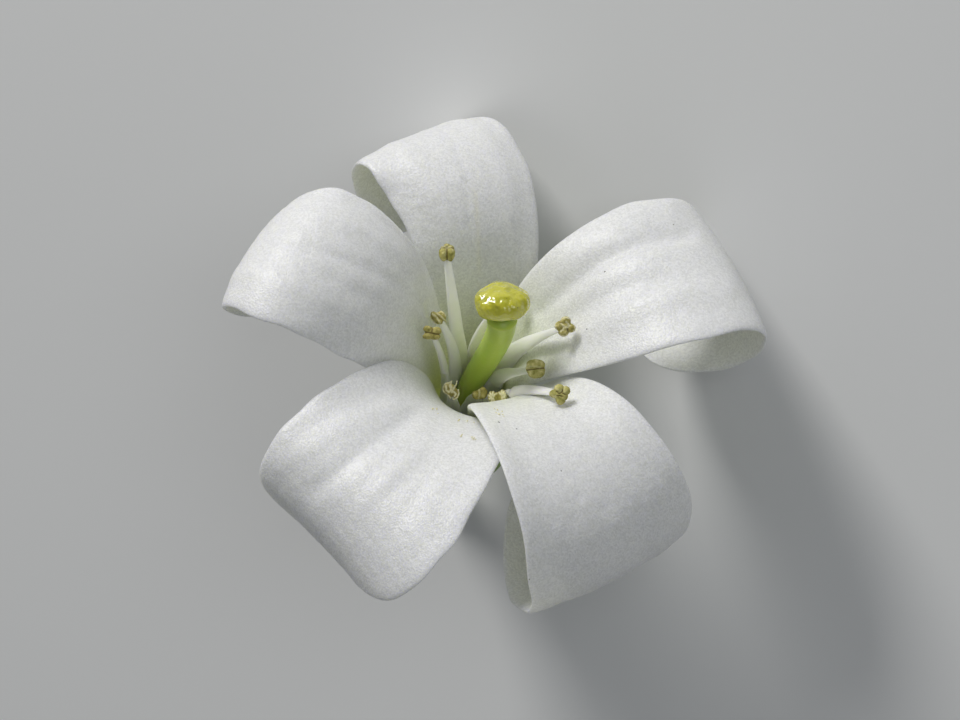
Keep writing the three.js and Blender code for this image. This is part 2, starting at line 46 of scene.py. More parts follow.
# ---------------------------------------------------------------- shape data
PSI_AT = [0, 0.2, 0.32, 0.44, 0.56, 0.68, 0.8, 0.9, 1.0]
OBLIQUE_AT = [0, 0.25, 0.5, 0.75, 1.0]
SWAY_AT = [0, 0.25, 0.6, 1.0]
CUP_AT = [0, 0.25, 0.45, 0.7, 1.0]
LIFT_AT = [0, 0.14, 0.28, 0.42, 0.56, 0.7]
PETAL_SEAT = -0.145
PETALS = [
    {"name": "petal_1", "azimuth": 104.54, "length": 19.87, "roll": 11.79, "r0": 1.47, "z0": -0.002, "psi": [2.2, 14.6, 28.3, 55.7, 93.6, 130.2, 176.0, 210.3, 242.5], "oblique": [0, 0, 8.93, -9.27, -9.78], "sway": [0, 0, 0.0551, 0.0323], "cup": [0.289, 0.289, -0.084, -0.05, 0.044], "wPlus": 3.108, "wMinus": 2.939, "tMax": 0.684, "wBase": 1.05, "tipPower": 1.688, "flarePower": 1.002, "liftPlus": [-0.235, -0.394, -0.417, -0.225, -0.379, 0], "liftMinus": [0.38, 0.432, 0.357, -0.018, -0.218, 0]},
    {"name": "petal_2", "azimuth": 185.27, "length": 19.64, "roll": -5.31, "r0": 1.417, "z0": 0.032, "psi": [3.5, 9.5, 14.1, 24.3, 57.2, 91.2, 145.7, 195.3, 244.4], "oblique": [0, 0, 4.62, 3.99, -17.95], "sway": [0, 0, -0.03, -0.1644], "cup": [0.073, 0.073, -0.102, -0.096, -0.097], "wPlus": 4.011, "wMinus": 2.564, "tMax": 0.71, "wBase": 0.848, "tipPower": 1.303, "flarePower": 0.937, "liftPlus": [0.05, 0.055, 0.061, -0.167, -0.103, 0], "liftMinus": [0.392, 0.3, 0.002, -0.178, -0.275, 0]},
    {"name": "petal_3", "azimuth": 257.21, "length": 17.47, "roll": 1.05, "r0": 1.415, "z0": -0.028, "psi": [0.9, 10.8, 21.1, 32.9, 56.0, 79.7, 107.0, 151.7, 197.2], "oblique": [0, 0, 6.2, 0.52, 22.95], "sway": [0, 0, -0.0589, 0.0695], "cup": [0.516, 0.516, 0.311, 0.036, 0.062], "wPlus": 3.972, "wMinus": 3.728, "tMax": 0.828, "wBase": 0.779, "tipPower": 2.429, "flarePower": 1.122, "liftPlus": [-0.143, -0.117, -0.076, -0.058, -0.015, 0], "liftMinus": [0.027, 0.131, 0.165, 0.117, 0.19, 0]},
    {"name": "petal_4", "azimuth": 317.84, "length": 24.23, "roll": -8.42, "r0": 1.418, "z0": -0.017, "psi": [-2.0, 9.3, 24.5, 54.3, 89.8, 138.9, 220.4, 261.6, 287.7], "oblique": [0, 0, -3.52, 3.36, 3.42], "sway": [0, 0, 0.045, -0.1901], "cup": [0.13, 0.13, 0.187, -0.042, 0.024], "wPlus": 2.963, "wMinus": 4.165, "tMax": 0.685, "wBase": 0.717, "tipPower": 2.435, "flarePower": 1.155, "liftPlus": [0.08, -0.026, 0.042, 0.006, -0.1, 0], "liftMinus": [0.329, 0.311, 0.064, -0.105, -0.185, 0]},
    {"name": "petal_5", "azimuth": 36.77, "length": 22.92, "roll": -4.19, "r0": 1.392, "z0": 0.006, "psi": [-4.2, -0.3, 17.8, 42.1, 73.4, 117.8, 185.3, 229.0, 271.9], "oblique": [0, 0, -9.33, 4.77, -1.14], "sway": [0, 0, 0.0374, -0.1271], "cup": [0.402, 0.402, 0.075, -0.027, -0.085], "wPlus": 2.974, "wMinus": 3.805, "tMax": 0.617, "wBase": 0.716, "tipPower": 1.993, "flarePower": 1.221, "liftPlus": [0.28, 0.065, -0.076, -0.095, -0.245, 0], "liftMinus": [0.05, -0.012, -0.084, -0.23, -0.004, 0]},
]
FILAMENTS = [
    [[-0.63, 0.69, 0.62], [-0.66, 0.72, 3.43], [-1.08, -0.38, 7.03], [-2.53, 1.56, 9.51]],
    [[-0.9, 0.22, 0.62], [-0.98, 0.13, 3.4], [-0.84, -0.31, 6.1], [-2.1, -0.05, 7.98]],
    [[-0.87, -0.32, 0.62], [-0.91, -0.33, 3.72], [-1.34, -0.58, 5.99], [-2.09, -1.05, 8.42]],
    [[-0.49, -0.79, 0.62], [-0.52, -0.83, 3.07], [-0.54, -1.41, 4.53], [-0.85, -1.93, 6.59]],
    [[0.07, -0.93, 0.62], [0.07, -0.95, 3.14], [-0.1, -0.71, 3.67], [0.13, -1.21, 5.71]],
    [[0.59, -0.72, 0.62], [0.68, -0.66, 2.67], [0.37, -0.82, 4.45], [0.65, -1.19, 6.04]],
    [[0.9, -0.24, 0.62], [0.95, -0.21, 4.24], [0.75, -1.18, 6.98], [2.67, -2.48, 9.95]],
    [[0.87, 0.32, 0.62], [0.88, 0.33, 4.1], [-0.25, 0.0, 4.66], [1.6, -0.98, 8.18]],
    [[0.5, 0.79, 0.62], [0.51, 0.81, 4.01], [0.16, 0.34, 6.22], [2.11, 0.17, 9.71]],
    [[-0.1, 0.92, 0.62], [-0.03, 1.02, 3.4], [-1.57, 0.45, 4.95], [0.03, 1.46, 8.06]],
]
STYLE_LINE = [
    (0.0, 0.0, 0.55, 0.5), (-0.02, 0.0, 0.9, 0.55), (-0.05, 0.0, 1.3, 0.56), (-0.12, 0.0, 1.9, 0.48),
    (-0.2, 0.0, 2.5, 0.42), (-0.28, 0.0, 3.3, 0.42), (-0.22, 0.0, 4.4, 0.45), (-0.03, 0.0, 6.15, 0.48),
    (0.1, -0.06, 7.6, 0.5), (0.13, -0.22, 9.0, 0.5), (0.02, -0.25, 9.92, 0.52),
]
STIGMA_CENTRE = np.array([-0.14, 0.02, 10.46])
STIGMA_AXIS = np.array([-0.285, 0.419, 0.862])
STALK_LENGTH = 3.4

REST_UP = np.array([-0.3959, -0.7243, 0.5645])
REST_FRONT = np.array([0.0, -0.492, 0.8706])
OFFSET = np.array([-2.3447, 5.3336, 3.0245])

up = REST_UP / np.linalg.norm(REST_UP)
front = REST_FRONT - up * (REST_FRONT @ up)
front /= np.linalg.norm(front)
ROT = np.array([np.cross(-front, up), -front, up])

# The camera's axes in the flower's frame, from the lean of the flower in the picture.
lean, turn = math.radians(29.4752), math.radians(71.0731)
axis_seen = np.array([math.sin(lean) * math.cos(turn), math.sin(lean) * math.sin(turn), math.cos(lean)])
side = np.array([math.sin(turn), -math.cos(turn), 0.0])
VIEW = np.array([side, np.cross(axis_seen, side), axis_seen])  # flower point @ VIEW = camera axes
CENTRE_SEEN = np.array([(460.5434 - 480) / 26, -(434.7792 - 360) / 26, 0.0])


def to_row(points):
    return (np.asarray(points, float) @ ROT.T + OFFSET) * MM


def seen_dir(x, y, z):
    """A direction given as right, up and towards the camera, in the flower's frame."""
    v = VIEW @ np.array([x, y, z], float)
    return v / np.linalg.norm(v)


# ---------------------------------------------------------------- camera and stage
def add_camera():
    eye = (np.array([0.0, 0.0, 110.0]) - CENTRE_SEEN) @ VIEW.T
    cam = bpy.data.cameras.new("camera")
    cam.sensor_fit = "HORIZONTAL"
    cam.sensor_width = 36.0
    cam.lens = 36.0 * 2860.0 / 960.0
    cam.clip_start = 0.005
    cam.clip_end = 20.0
    obj = bpy.data.objects.new("camera", cam)
    axes = ROT @ VIEW
    m = Matrix.Identity(4)
    for r in range(3):
        for c in range(3):
            m[r][c] = axes[r, c]
    place = to_row(eye)
    for r in range(3):
        m[r][3] = place[r]
    obj.matrix_world = m
    bpy.context.scene.collection.objects.link(obj)
    bpy.context.scene.camera = obj


def area_light(name, direction, distance, size, power, colour):
    data = bpy.data.lights.new(name, "AREA")
    data.shape = "DISK"
    data.size = size
    data.energy = power
    data.color = colour
    obj = bpy.data.objects.new(name, data)
    d = Vector((ROT @ direction).tolist())
    target = Vector(to_row([0.0, 0.0, 8.0]).tolist())
    obj.location = target + d * distance
    obj.rotation_euler = d.to_track_quat("Z", "Y").to_euler()
    bpy.context.scene.collection.objects.link(obj)


def new_material(name):
    m = bpy.data.materials.new(name)
    m.use_nodes = True
    nt = m.node_tree
    nt.nodes.clear()
    out = nt.nodes.new("ShaderNodeOutputMaterial")
    bsdf = nt.nodes.new("ShaderNodeBsdfPrincipled")
    nt.links.new(bsdf.outputs["BSDF"], out.inputs["Surface"])
    return m, nt, bsdf


def floor_and_lights():
    s = 1.6
    n = 40
    xs = np.linspace(-s, s, n)
    verts = [(x, y, 0.0) for y in xs for x in xs]
    faces = [(j * n + i, j * n + i + 1, (j + 1) * n + i + 1, (j + 1) * n + i) for j in range(n - 1) for i in range(n - 1)]
    mesh = bpy.data.meshes.new("floor")
    mesh.from_pydata(verts, [], faces)
    floor = bpy.data.objects.new("floor", mesh)
    bpy.context.scene.collection.objects.link(floor)
    m, nt, bsdf = new_material("floor_paper")
    bsdf.inputs["Base Color"].default_value = (0.80, 0.805, 0.80, 1)
    bsdf.inputs["Roughness"].default_value = 0.9
    bsdf.inputs["Specular IOR Level"].default_value = 0.15
    mesh.materials.append(m)

    world = bpy.data.worlds.new("studio")
    world.use_nodes = True
    world.node_tree.nodes["Background"].inputs["Color"].default_value = (0.93, 0.96, 1.0, 1)
    world.node_tree.nodes["Background"].inputs["Strength"].default_value = 0.20
    bpy.context.scene.world = world
    area_light("key", seen_dir(-0.4538, 0.8226, 0.3256), 0.32, 0.11, 0.75, (1.0, 0.985, 0.96))
    area_light("fill", seen_dir(0.22, 0.10, 1.0), 0.36, 0.16, 0.165, (0.95, 0.98, 1.0))
    bpy.context.scene.view_settings.view_transform = "Standard"
    bpy.context.scene.view_settings.look = "None"
    bpy.context.scene.view_settings.exposure = 0.0


# ---------------------------------------------------------------- curves and noise
def smooth(xs, ys, x):
    xs = np.asarray(xs, float)
    ys = np.asarray(ys, float)
    x = np.asarray(x, float)
    h = np.diff(xs)
    seg = np.diff(ys) / h
    n = len(xs)
    d = np.empty(n)
    d[0], d[-1] = seg[0], seg[-1]
    for i in range(1, n - 1):
        d[i] = (seg[i - 1] * h[i] + seg[i] * h[i - 1]) / (h[i] + h[i - 1])
    i = np.clip(np.searchsorted(xs, x, side="right") - 1, 0, n - 2)
    t = (x - xs[i]) / h[i]
    y = ((2 * t**3 - 3 * t * t + 1) * ys[i] + (t**3 - 2 * t * t + t) * h[i] * d[i]
         + (-2 * t**3 + 3 * t * t) * ys[i + 1] + (t**3 - t * t) * h[i] * d[i + 1])
    y = np.where(x > xs[-1], ys[-1] + (x - xs[-1]) * d[-1], y)
    return np.where(x < xs[0], ys[0] + (x - xs[0]) * d[0], y)


def step(a, b, x):
    t = np.clip((x - a) / (b - a), 0, 1)
    return t * t * (3 - 2 * t)


def ripples(x, y, scale, seed, octaves=3):
    """Smooth, repeatable unevenness with features about `scale` across, in -1 to 1."""
    rng = np.random.default_rng(seed)
    out = np.zeros_like(x)
    total = 0.0
    for o in range(octaves):
        amp = 0.55**o
        for _ in range(6):
            a = rng.uniform(0, 2 * math.pi)
            k = 2 * math.pi / (scale / 1.9**o) * rng.uniform(0.6, 1.4)
            out += amp * np.sin(k * (math.cos(a) * x + math.sin(a) * y) + rng.uniform(0, 2 * math.pi))
            total += amp * 0.45
    return np.clip(out / total, -1.5, 1.5)


def make_object(name, verts_mm, faces, material, attributes=None, flip=False):
    co = to_row(verts_mm)
    co[:, 2] = np.maximum(co[:, 2], 2e-6)
    mesh = bpy.data.meshes.new(name)
    mesh.from_pydata(co.tolist(), [], [tuple(int(v) for v in f) for f in faces])
    for key, values in (attributes or {}).items():
        a = mesh.attributes.new(key, "FLOAT", "POINT")
        a.data.foreach_set("value", np.asarray(values, np.float32).ravel())
    mesh.validate()
    bm = bmesh.new()
    bm.from_mesh(mesh)
    bmesh.ops.recalc_face_normals(bm, faces=bm.faces)
    bm.to_mesh(mesh)
    bm.free()
    for p in mesh.polygons:
        p.use_smooth = True
    mesh.materials.append(material)
    obj = bpy.data.objects.new(name, mesh)
    bpy.context.scene.collection.objects.link(obj)
    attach(obj, "root")
    return obj


# ---------------------------------------------------------------- node helpers
class Nodes:
    def __init__(self, nt):
        self.nt = nt

    def new(self, kind, **settings):
        n = self.nt.nodes.new(kind)
        for k, v in settings.items():
            setattr(n, k, v)
        return n

    def link(self, a, b):
        self.nt.links.new(a, b)

    def attr(self, name):
        return self.new("ShaderNodeAttribute", attribute_name=name).outputs["Fac"]

    def coords(self):
        return self.new("ShaderNodeTexCoord").outputs["Object"]

    def noise(self, scale, detail=2.0, rough=0.5, vector=None):
        n = self.new("ShaderNodeTexNoise")
        n.inputs["Scale"].default_value = scale
        n.inputs["Detail"].default_value = detail
        n.inputs["Roughness"].default_value = rough
        self.link(vector if vector is not None else self.coords(), n.inputs["Vector"])
        return n.outputs["Fac"]

    def cells(self, scale, feature="SMOOTH_F1", rand=1.0, vector=None, out="Distance"):
        n = self.new("ShaderNodeTexVoronoi", feature=feature)
        n.inputs["Scale"].default_value = scale
        n.inputs["Randomness"].default_value = rand
        self.link(vector if vector is not None else self.coords(), n.inputs["Vector"])
        return n.outputs[out]

    def math(self, op, a, b=None, clamp=False):
        n = self.new("ShaderNodeMath", operation=op, use_clamp=clamp)
        for i, v in enumerate((a, b)):
            if v is None:
                continue
            if isinstance(v, (int, float)):
                n.inputs[i].default_value = v
            else:
                self.link(v, n.inputs[i])
        return n.outputs[0]

    def ramp(self, fac, stops, mode="EASE"):
        n = self.new("ShaderNodeValToRGB")
        cr = n.color_ramp
        cr.interpolation = mode
        while len(cr.elements) < len(stops):
            cr.elements.new(0.5)
        for e, (pos, col) in zip(cr.elements, stops):
            e.position = pos
            e.color = (col, col, col, 1) if isinstance(col, (int, float)) else tuple(col) + (1,)
        self.link(fac, n.inputs["Fac"])
        return n.outputs["Color"]

    def mix(self, fac, a, b, mode="MIX"):
        n = self.new("ShaderNodeMix", data_type="RGBA", blend_type=mode)
        for sock, v in ((n.inputs[0], fac), (n.inputs[6], a), (n.inputs[7], b)):
            if isinstance(v, (int, float)):
                sock.default_value = v
            elif isinstance(v, tuple):
                sock.default_value = v + (1,)
            else:
                self.link(v, sock)
        return n.outputs[2]

    def bump(self, height, distance, strength=1.0, normal=None):
        n = self.new("ShaderNodeBump")
        n.inputs["Distance"].default_value = distance
        n.inputs["Strength"].default_value = strength
        self.link(height, n.inputs["Height"])
        if normal is not None:
            self.link(normal, n.inputs["Normal"])
        return n.outputs["Normal"]


# ---------------------------------------------------------------- materials
def petal_material(name, specks):
    m, nt, bsdf = new_material(name)
    k = Nodes(nt)
    xyz = k.coords()
    base = k.attr("base")      # 1 at the claw, 0 on the blade
    under = k.attr("under")    # 1 on the lower face
    rim = k.attr("rim")        # 1 along the margin
    vein = k.attr("vein")      # fine lines along the blade
    stain = k.attr("stain")    # warm midline
    cell = k.cells(15000.0, vector=xyz)
    grain = k.noise(4200.0, 3.0, 0.6, xyz)
    cloud = k.noise(900.0, 3.0, 0.55, xyz)
    wide = k.noise(260.0, 2.0, 0.5, xyz)

    white = k.mix(cloud, (0.86, 0.864, 0.86), (0.908, 0.91, 0.905))
    white = k.mix(k.ramp(wide, [(0.3, 0.0), (0.75, 0.4)]), white, (0.86, 0.87, 0.875))
    white = k.mix(k.math("MULTIPLY", vein, 0.06), white, (0.76, 0.785, 0.74))
    white = k.mix(k.math("MULTIPLY", stain, 0.35), white, (0.86, 0.83, 0.66))
    lower = k.mix(cloud, (0.87, 0.885, 0.825), (0.91, 0.92, 0.87))
    col = k.mix(under, white, lower)
    col = k.mix(k.math("MULTIPLY", rim, 0.35), col, (0.93, 0.94, 0.93))
    green = k.mix(base, (0.86, 0.90, 0.68), (0.85, 0.93, 0.55))
    col = k.mix(k.ramp(base, [(0.0, 0.0), (0.25, 0.30), (0.6, 0.75), (1.0, 0.95)], "LINEAR"), col, green)
    tone = k.ramp(cell, [(0.0, 1.0), (0.55, 0.88), (1.0, 0.76)], "LINEAR")
    col = k.mix(0.5, col, tone, "MULTIPLY")
    each = k.ramp(k.cells(16000.0, "F1", vector=xyz, out="Color"), [(0.2, 0.80), (0.8, 1.0)], "LINEAR")
    col = k.mix(0.7, col, each, "MULTIPLY")
    for place, size in specks:
        p = k.new("ShaderNodeVectorMath", operation="DISTANCE")
        k.link(xyz, p.inputs[0])
        p.inputs[1].default_value = tuple(float(c) for c in place)
        spot = k.math("LESS_THAN", p.outputs["Value"], size)
        col = k.mix(spot, col, (0.10, 0.10, 0.08))
    k.link(col, bsdf.inputs["Base Color"])
    bsdf.inputs["Roughness"].default_value = 0.4
    bsdf.inputs["Specular IOR Level"].default_value = 0.4
    bsdf.inputs["Subsurface Weight"].default_value = 0.75
    bsdf.inputs["Subsurface Radius"].default_value = (1.0, 1.0, 0.75)
    bsdf.inputs["Subsurface Scale"].default_value = 0.0005
    b1 = k.bump(k.ramp(cell, [(0.0, 1.0), (0.6, 0.55), (1.0, 0.0)], "EASE"), 0.00002, 0.85)
    b2 = k.bump(grain, 0.000014, 0.3, b1)
    b3 = k.bump(cloud, 0.00003, 0.25, b2)
    k.link(b3, bsdf.inputs["Normal"])
    return m


def filament_material():
    m, nt, bsdf = new_material("filament_skin")
    k = Nodes(nt)
    xyz = k.coords()
    along = k.attr("along")
    streak = k.attr("streak")
    cloud = k.noise(1500.0, 3.0, 0.5, xyz)
    col = k.ramp(along, [(0.0, (0.88, 0.94, 0.62)), (0.4, (0.91, 0.94, 0.78)), (1.0, (0.93, 0.94, 0.87))], "LINEAR")
    col = k.mix(k.math("MULTIPLY", streak, 0.5), col, (0.88, 0.90, 0.82))
    col = k.mix(k.ramp(cloud, [(0.35, 0.0), (0.8, 0.25)]), col, (0.78, 0.84, 0.60))
    k.link(col, bsdf.inputs["Base Color"])
    bsdf.inputs["Roughness"].default_value = 0.38
    bsdf.inputs["Specular IOR Level"].default_value = 0.5
    bsdf.inputs["Subsurface Weight"].default_value = 0.85
    bsdf.inputs["Subsurface Radius"].default_value = (1.0, 1.1, 0.7)
    bsdf.inputs["Subsurface Scale"].default_value = 0.0006
    b = k.bump(cloud, 0.00003, 0.5)
    b = k.bump(k.noise(9000.0, 2.0, 0.5, xyz), 0.00001, 0.5, b)
    k.link(b, bsdf.inputs["Normal"])
    return m


def anther_material():
    m, nt, bsdf = new_material("anther_skin")
    k = Nodes(nt)
    xyz = k.coords()
    lip = k.attr("lip")
    painted_crease_shade = k.attr("painted_crease_shade")
    grain = k.noise(16000.0, 3.0, 0.7, xyz)
    blotch = k.noise(5200.0, 2.0, 0.5, xyz)
    cream = k.ramp(blotch, [(0.3, (0.34, 0.33, 0.07)), (0.5, (0.56, 0.53, 0.17)), (0.7, (0.78, 0.74, 0.36))])
    brown = k.ramp(blotch, [(0.3, (0.17, 0.135, 0.02)), (0.5, (0.33, 0.27, 0.06)), (0.7, (0.52, 0.44, 0.14))])
    col = k.mix(k.attr("shade"), cream, brown)
    # painted shade: near-black in the slits and hollows and on the sides turned from the camera, with a brown grain in
    # it
    col = k.mix(k.math("MULTIPLY", painted_crease_shade, 0.85), col, (0.10, 0.07, 0.015))
    col = k.mix(k.math("MULTIPLY", painted_crease_shade, k.ramp(grain, [(0.52, 0.0), (0.66, 0.6)])), col, (0.60, 0.42, 0.13))
    col = k.mix(k.math("MULTIPLY", lip, 0.85), col, (0.84, 0.80, 0.52))
    k.link(col, bsdf.inputs["Base Color"])
    bsdf.inputs["Roughness"].default_value = 0.6
    bsdf.inputs["Specular IOR Level"].default_value = 0.4
    bsdf.inputs["Subsurface Weight"].default_value = 0.12
    bsdf.inputs["Subsurface Radius"].default_value = (1.0, 0.8, 0.3)
    bsdf.inputs["Subsurface Scale"].default_value = 0.0001
    b = k.bump(grain, 0.00002, 0.8)
    k.link(k.bump(blotch, 0.00005, 0.5, b), bsdf.inputs["Normal"])
    return m


def style_material():
    m, nt, bsdf = new_material("style_skin")
    k = Nodes(nt)
    xyz = k.coords()
    along = k.attr("along")
    cloud = k.noise(700.0, 3.0, 0.5, xyz)
    # lighter yellow-green towards the foot: the style's own colour, brightened at the foot as painted light where the
    # throat shades it
    col = k.ramp(along, [(0.0, (0.86, 0.98, 0.20)), (0.35, (0.80, 0.95, 0.17)), (0.65, (0.60, 0.75, 0.13)), (1.0, (0.42, 0.52, 0.10))], "LINEAR")
    col = k.mix(k.ramp(cloud, [(0.35, 0.0), (0.8, 0.25)]), col, (0.62, 0.76, 0.16))
    k.link(col, bsdf.inputs["Base Color"])
    bsdf.inputs["Roughness"].default_value = 0.34
    bsdf.inputs["Subsurface Weight"].default_value = 0.8
    bsdf.inputs["Subsurface Radius"].default_value = (0.8, 1.0, 0.25)
    bsdf.inputs["Subsurface Scale"].default_value = 0.0010
    b = k.bump(k.cells(6000.0, vector=xyz), 0.000015, 0.6)
    k.link(k.bump(cloud, 0.00006, 0.4, b), bsdf.inputs["Normal"])
    return m


def stigma_material():
    m, nt, bsdf = new_material("stigma_skin")
    k = Nodes(nt)
    xyz = k.coords()
    low = k.attr("low")
    lump = k.noise(2700.0, 2.5, 0.5, xyz)
    fine = k.cells(11000.0, vector=xyz)
    col = k.ramp(lump, [(0.3, (0.40, 0.40, 0.02)), (0.55, (0.55, 0.535, 0.03)), (0.8, (0.68, 0.65, 0.08))])
    col = k.mix(k.math("MULTIPLY", low, 0.7), col, (0.60, 0.60, 0.045))
    dots = k.cells(2600.0, "F1", vector=xyz)
    col = k.mix(k.math("LESS_THAN", dots, 0.06), col, (0.16, 0.13, 0.02))
    k.link(col, bsdf.inputs["Base Color"])
    bsdf.inputs["Roughness"].default_value = 0.16
    bsdf.inputs["Coat Weight"].default_value = 1.0
    bsdf.inputs["Coat Roughness"].default_value = 0.05
    bsdf.inputs["Subsurface Weight"].default_value = 0.35
    bsdf.inputs["Subsurface Radius"].default_value = (1.0, 0.9, 0.2)
    bsdf.inputs["Subsurface Scale"].default_value = 0.0003
    b = k.bump(lump, 0.00011, 0.8)
    b = k.bump(k.noise(6400.0, 2.0, 0.5, xyz), 0.000028, 0.6, b)
    b = k.bump(fine, 0.000005, 0.2, b)
    k.link(b, bsdf.inputs["Normal"])
    k.link(b, bsdf.inputs["Coat Normal"])
    return m


def green_material(name, dark, light, scale):
    m, nt, bsdf = new_material(name)
    k = Nodes(nt)
    xyz = k.coords()
    tone = k.attr("tone")
    pale = k.attr("pale")
    cloud = k.noise(scale, 4.0, 0.6, xyz)
    col = k.mix(k.ramp(cloud, [(0.3, 0.0), (0.75, 1.0)]), dark, light)
    col = k.mix(k.math("MULTIPLY", tone, 0.7), col, tuple(min(1.0, c * 1.5 + 0.05) for c in light))
    dots = k.cells(3800.0, "F1", vector=xyz)
    col = k.mix(k.math("LESS_THAN", dots, 0.16), col, tuple(c * 0.55 for c in dark))
    col = k.mix(pale, col, (0.62, 0.66, 0.40))
    k.link(col, bsdf.inputs["Base Color"])
    bsdf.inputs["Roughness"].default_value = 0.48
    bsdf.inputs["Subsurface Weight"].default_value = 0.15
    bsdf.inputs["Subsurface Radius"].default_value = (0.6, 1.0, 0.2)
    bsdf.inputs["Subsurface Scale"].default_value = 0.0003
    b = k.bump(k.noise(6500.0, 3.0, 0.6, xyz), 0.00003, 0.7)
    k.link(k.bump(cloud, 0.00008, 0.5, b), bsdf.inputs["Normal"])
    return m


# ---------------------------------------------------------------- petals
def spine(p):
    n = 96
    length = p["length"]
    s0 = -0.09 * length
    ds = (1.3 * length - s0) / (n - 1)
    s = s0 + ds * np.arange(n)
    psi = np.radians(smooth(PSI_AT, p["psi"], s / length))
    slant = np.tan(np.radians(smooth(OBLIQUE_AT, p["oblique"], s / length)))
    sway = smooth(SWAY_AT, p["sway"], s / length)
    a = math.radians(p["azimuth"])
    out = np.array([math.cos(a), math.sin(a), 0.0])
    z = np.array([0.0, 0.0, 1.0])
    T = math.cos(psi[0]) * z + math.sin(psi[0]) * out
    B = np.array([-math.sin(a), math.cos(a), 0.0])
    N = np.cross(T, B)
    r = math.radians(p["roll"])
    B = math.cos(r) * B + math.sin(r) * N
    N = np.cross(T, B)
    frames = [(T, B, N)]
    centre = [np.zeros(3)]
    for i in range(1, n):
        T, B, N = frames[-1]
        w = ((psi[i] - psi[i - 1]) * (B + 0.5 * (slant[i] + slant[i - 1]) * T)
             + 0.5 * (sway[i] + sway[i - 1]) * ds * N)
        angle = np.linalg.norm(w)
        k = w / max(angle, 1e-12)
        g = tuple(v * math.cos(angle) + np.cross(k, v) * math.sin(angle) + k * (k @ v) * (1 - math.cos(angle))
                  for v in (T, B, N))
        frames.append(g)
        centre.append(centre[-1] + 0.5 * ds * (T + g[0]))
    centre = np.array(centre)
    k = -s0 / ds
    i = int(k)
    f = k - i
    centre = centre - (centre[i] * (1 - f) + centre[i + 1] * f) + p["r0"] * out + p["z0"] * z
    return {"s0": s0, "ds": ds, "frames": np.array(frames), "centre": centre, "slant": slant}


def half_width(p, t, v):
    full = np.where(v > 0, p["wPlus"], p["wMinus"])
    s = np.clip(t / p["tMax"], 0, 1) ** p["flarePower"]
    lower = p["wBase"] + (full - p["wBase"]) * s * s * (3 - 2 * s)
    b = np.clip((t - p["tMax"]) / (1 - p["tMax"]), 0, 1)
    upper = full * np.sqrt(np.maximum(0, 1 - b ** p["tipPower"]))
    return np.where(t < p["tMax"], lower, upper)


def petal_surface(p, sp, t, v, stretch=None):
    length = p["length"]
    u = t * length
    lateral = v * half_width(p, t, v)
    if stretch is not None:
        lateral = lateral * stretch

    def at(table, s):
        k = np.clip((s - sp["s0"]) / sp["ds"], 0, len(table) - 1.0001)
        i = k.astype(int)
        f = k - i
        f = f.reshape(f.shape + (1,) * (table.ndim - 1))
        return table[i] * (1 - f) + table[i + 1] * f

    s = u.copy()
    for _ in range(4):
        s = u - lateral * at(sp["slant"], s)
    F = at(sp["frames"], s)
    T, B, N = F[..., 0, :], F[..., 1, :], F[..., 2, :]
    slant = at(sp["slant"], s)[..., None]
    c = smooth(CUP_AT, p["cup"], s / length)
    c = np.where(np.abs(c) < 1e-4, 1e-4, c)
    bend = np.clip(c * lateral, -2.6, 2.6)[..., None]
    c = c[..., None]
    P = at(sp["centre"], s) + B * np.sin(bend) / c + T * slant * np.sin(bend) / c + N * (1 - np.cos(bend)) / c
    NU = at(sp["frames"], u)[..., 2, :]
    tt = np.maximum(0, t)
    lift = np.where(v > 0, smooth(LIFT_AT, p["liftPlus"], tt), smooth(LIFT_AT, p["liftMinus"], tt))
    lift = np.where(t < 0.7, lift, 0)
    return P + NU * (lift * v * v)[..., None]


# Long ridges (+) and grooves (-) seen on each blade: points (t, v), height in mm, spread in v.
FOLDS = {
    1: [([(0.3, 0.2), (0.5, 0.1), (0.66, -0.12), (0.8, -0.2)], -0.025, 0.035),
        ([(0.45, -0.5), (0.6, -0.55), (0.8, -0.5)], 0.05, 0.16),
        ([(0.5, 0.45), (0.62, 0.5), (0.8, 0.45)], 0.045, 0.14),
        ([(0.5, 0.72), (0.62, 0.76), (0.8, 0.7)], -0.012, 0.12),
        ([(0.5, -0.8), (0.62, -0.8), (0.8, -0.76)], -0.02, 0.12)],
    2: [([(0.28, -0.45), (0.39, -0.21), (0.51, 0.05), (0.62, 0.18), (0.7, 0.2)], -0.055, 0.06),
        ([(0.34, 0.1), (0.45, 0.28), (0.6, 0.42)], -0.03, 0.07),
        ([(0.45, -0.5), (0.6, -0.35), (0.75, -0.3)], 0.05, 0.16),
        ([(0.55, 0.6), (0.7, 0.62), (0.85, 0.6)], 0.045, 0.12),
        ([(0.55, -0.78), (0.7, -0.75), (0.85, -0.7)], -0.045, 0.10)],
    3: [],
    4: [([(0.4, -0.35), (0.55, -0.3), (0.7, -0.28)], 0.03, 0.16),
        ([(0.4, 0.25), (0.55, 0.22), (0.7, 0.2)], -0.035, 0.12),
        ([(0.5, 0.62), (0.62, 0.62), (0.8, 0.6)], 0.04, 0.14),
        ([(0.5, -0.72), (0.62, -0.7), (0.8, -0.66)], -0.04, 0.12)],
    5: [],
}


def folds(number, t, v):
    out = np.zeros_like(t)
    for points, height, spread in FOLDS[number]:
        ts = np.array([q[0] for q in points])
        centre = np.interp(t, ts, [q[1] for q in points])
        window = step(ts[0] - 0.12, ts[0] + 0.04, t) * (1 - step(ts[-1] - 0.02, ts[-1] + 0.12, t))
        out += height * window * np.exp(-(((v - centre) / spread) ** 2))
    return out


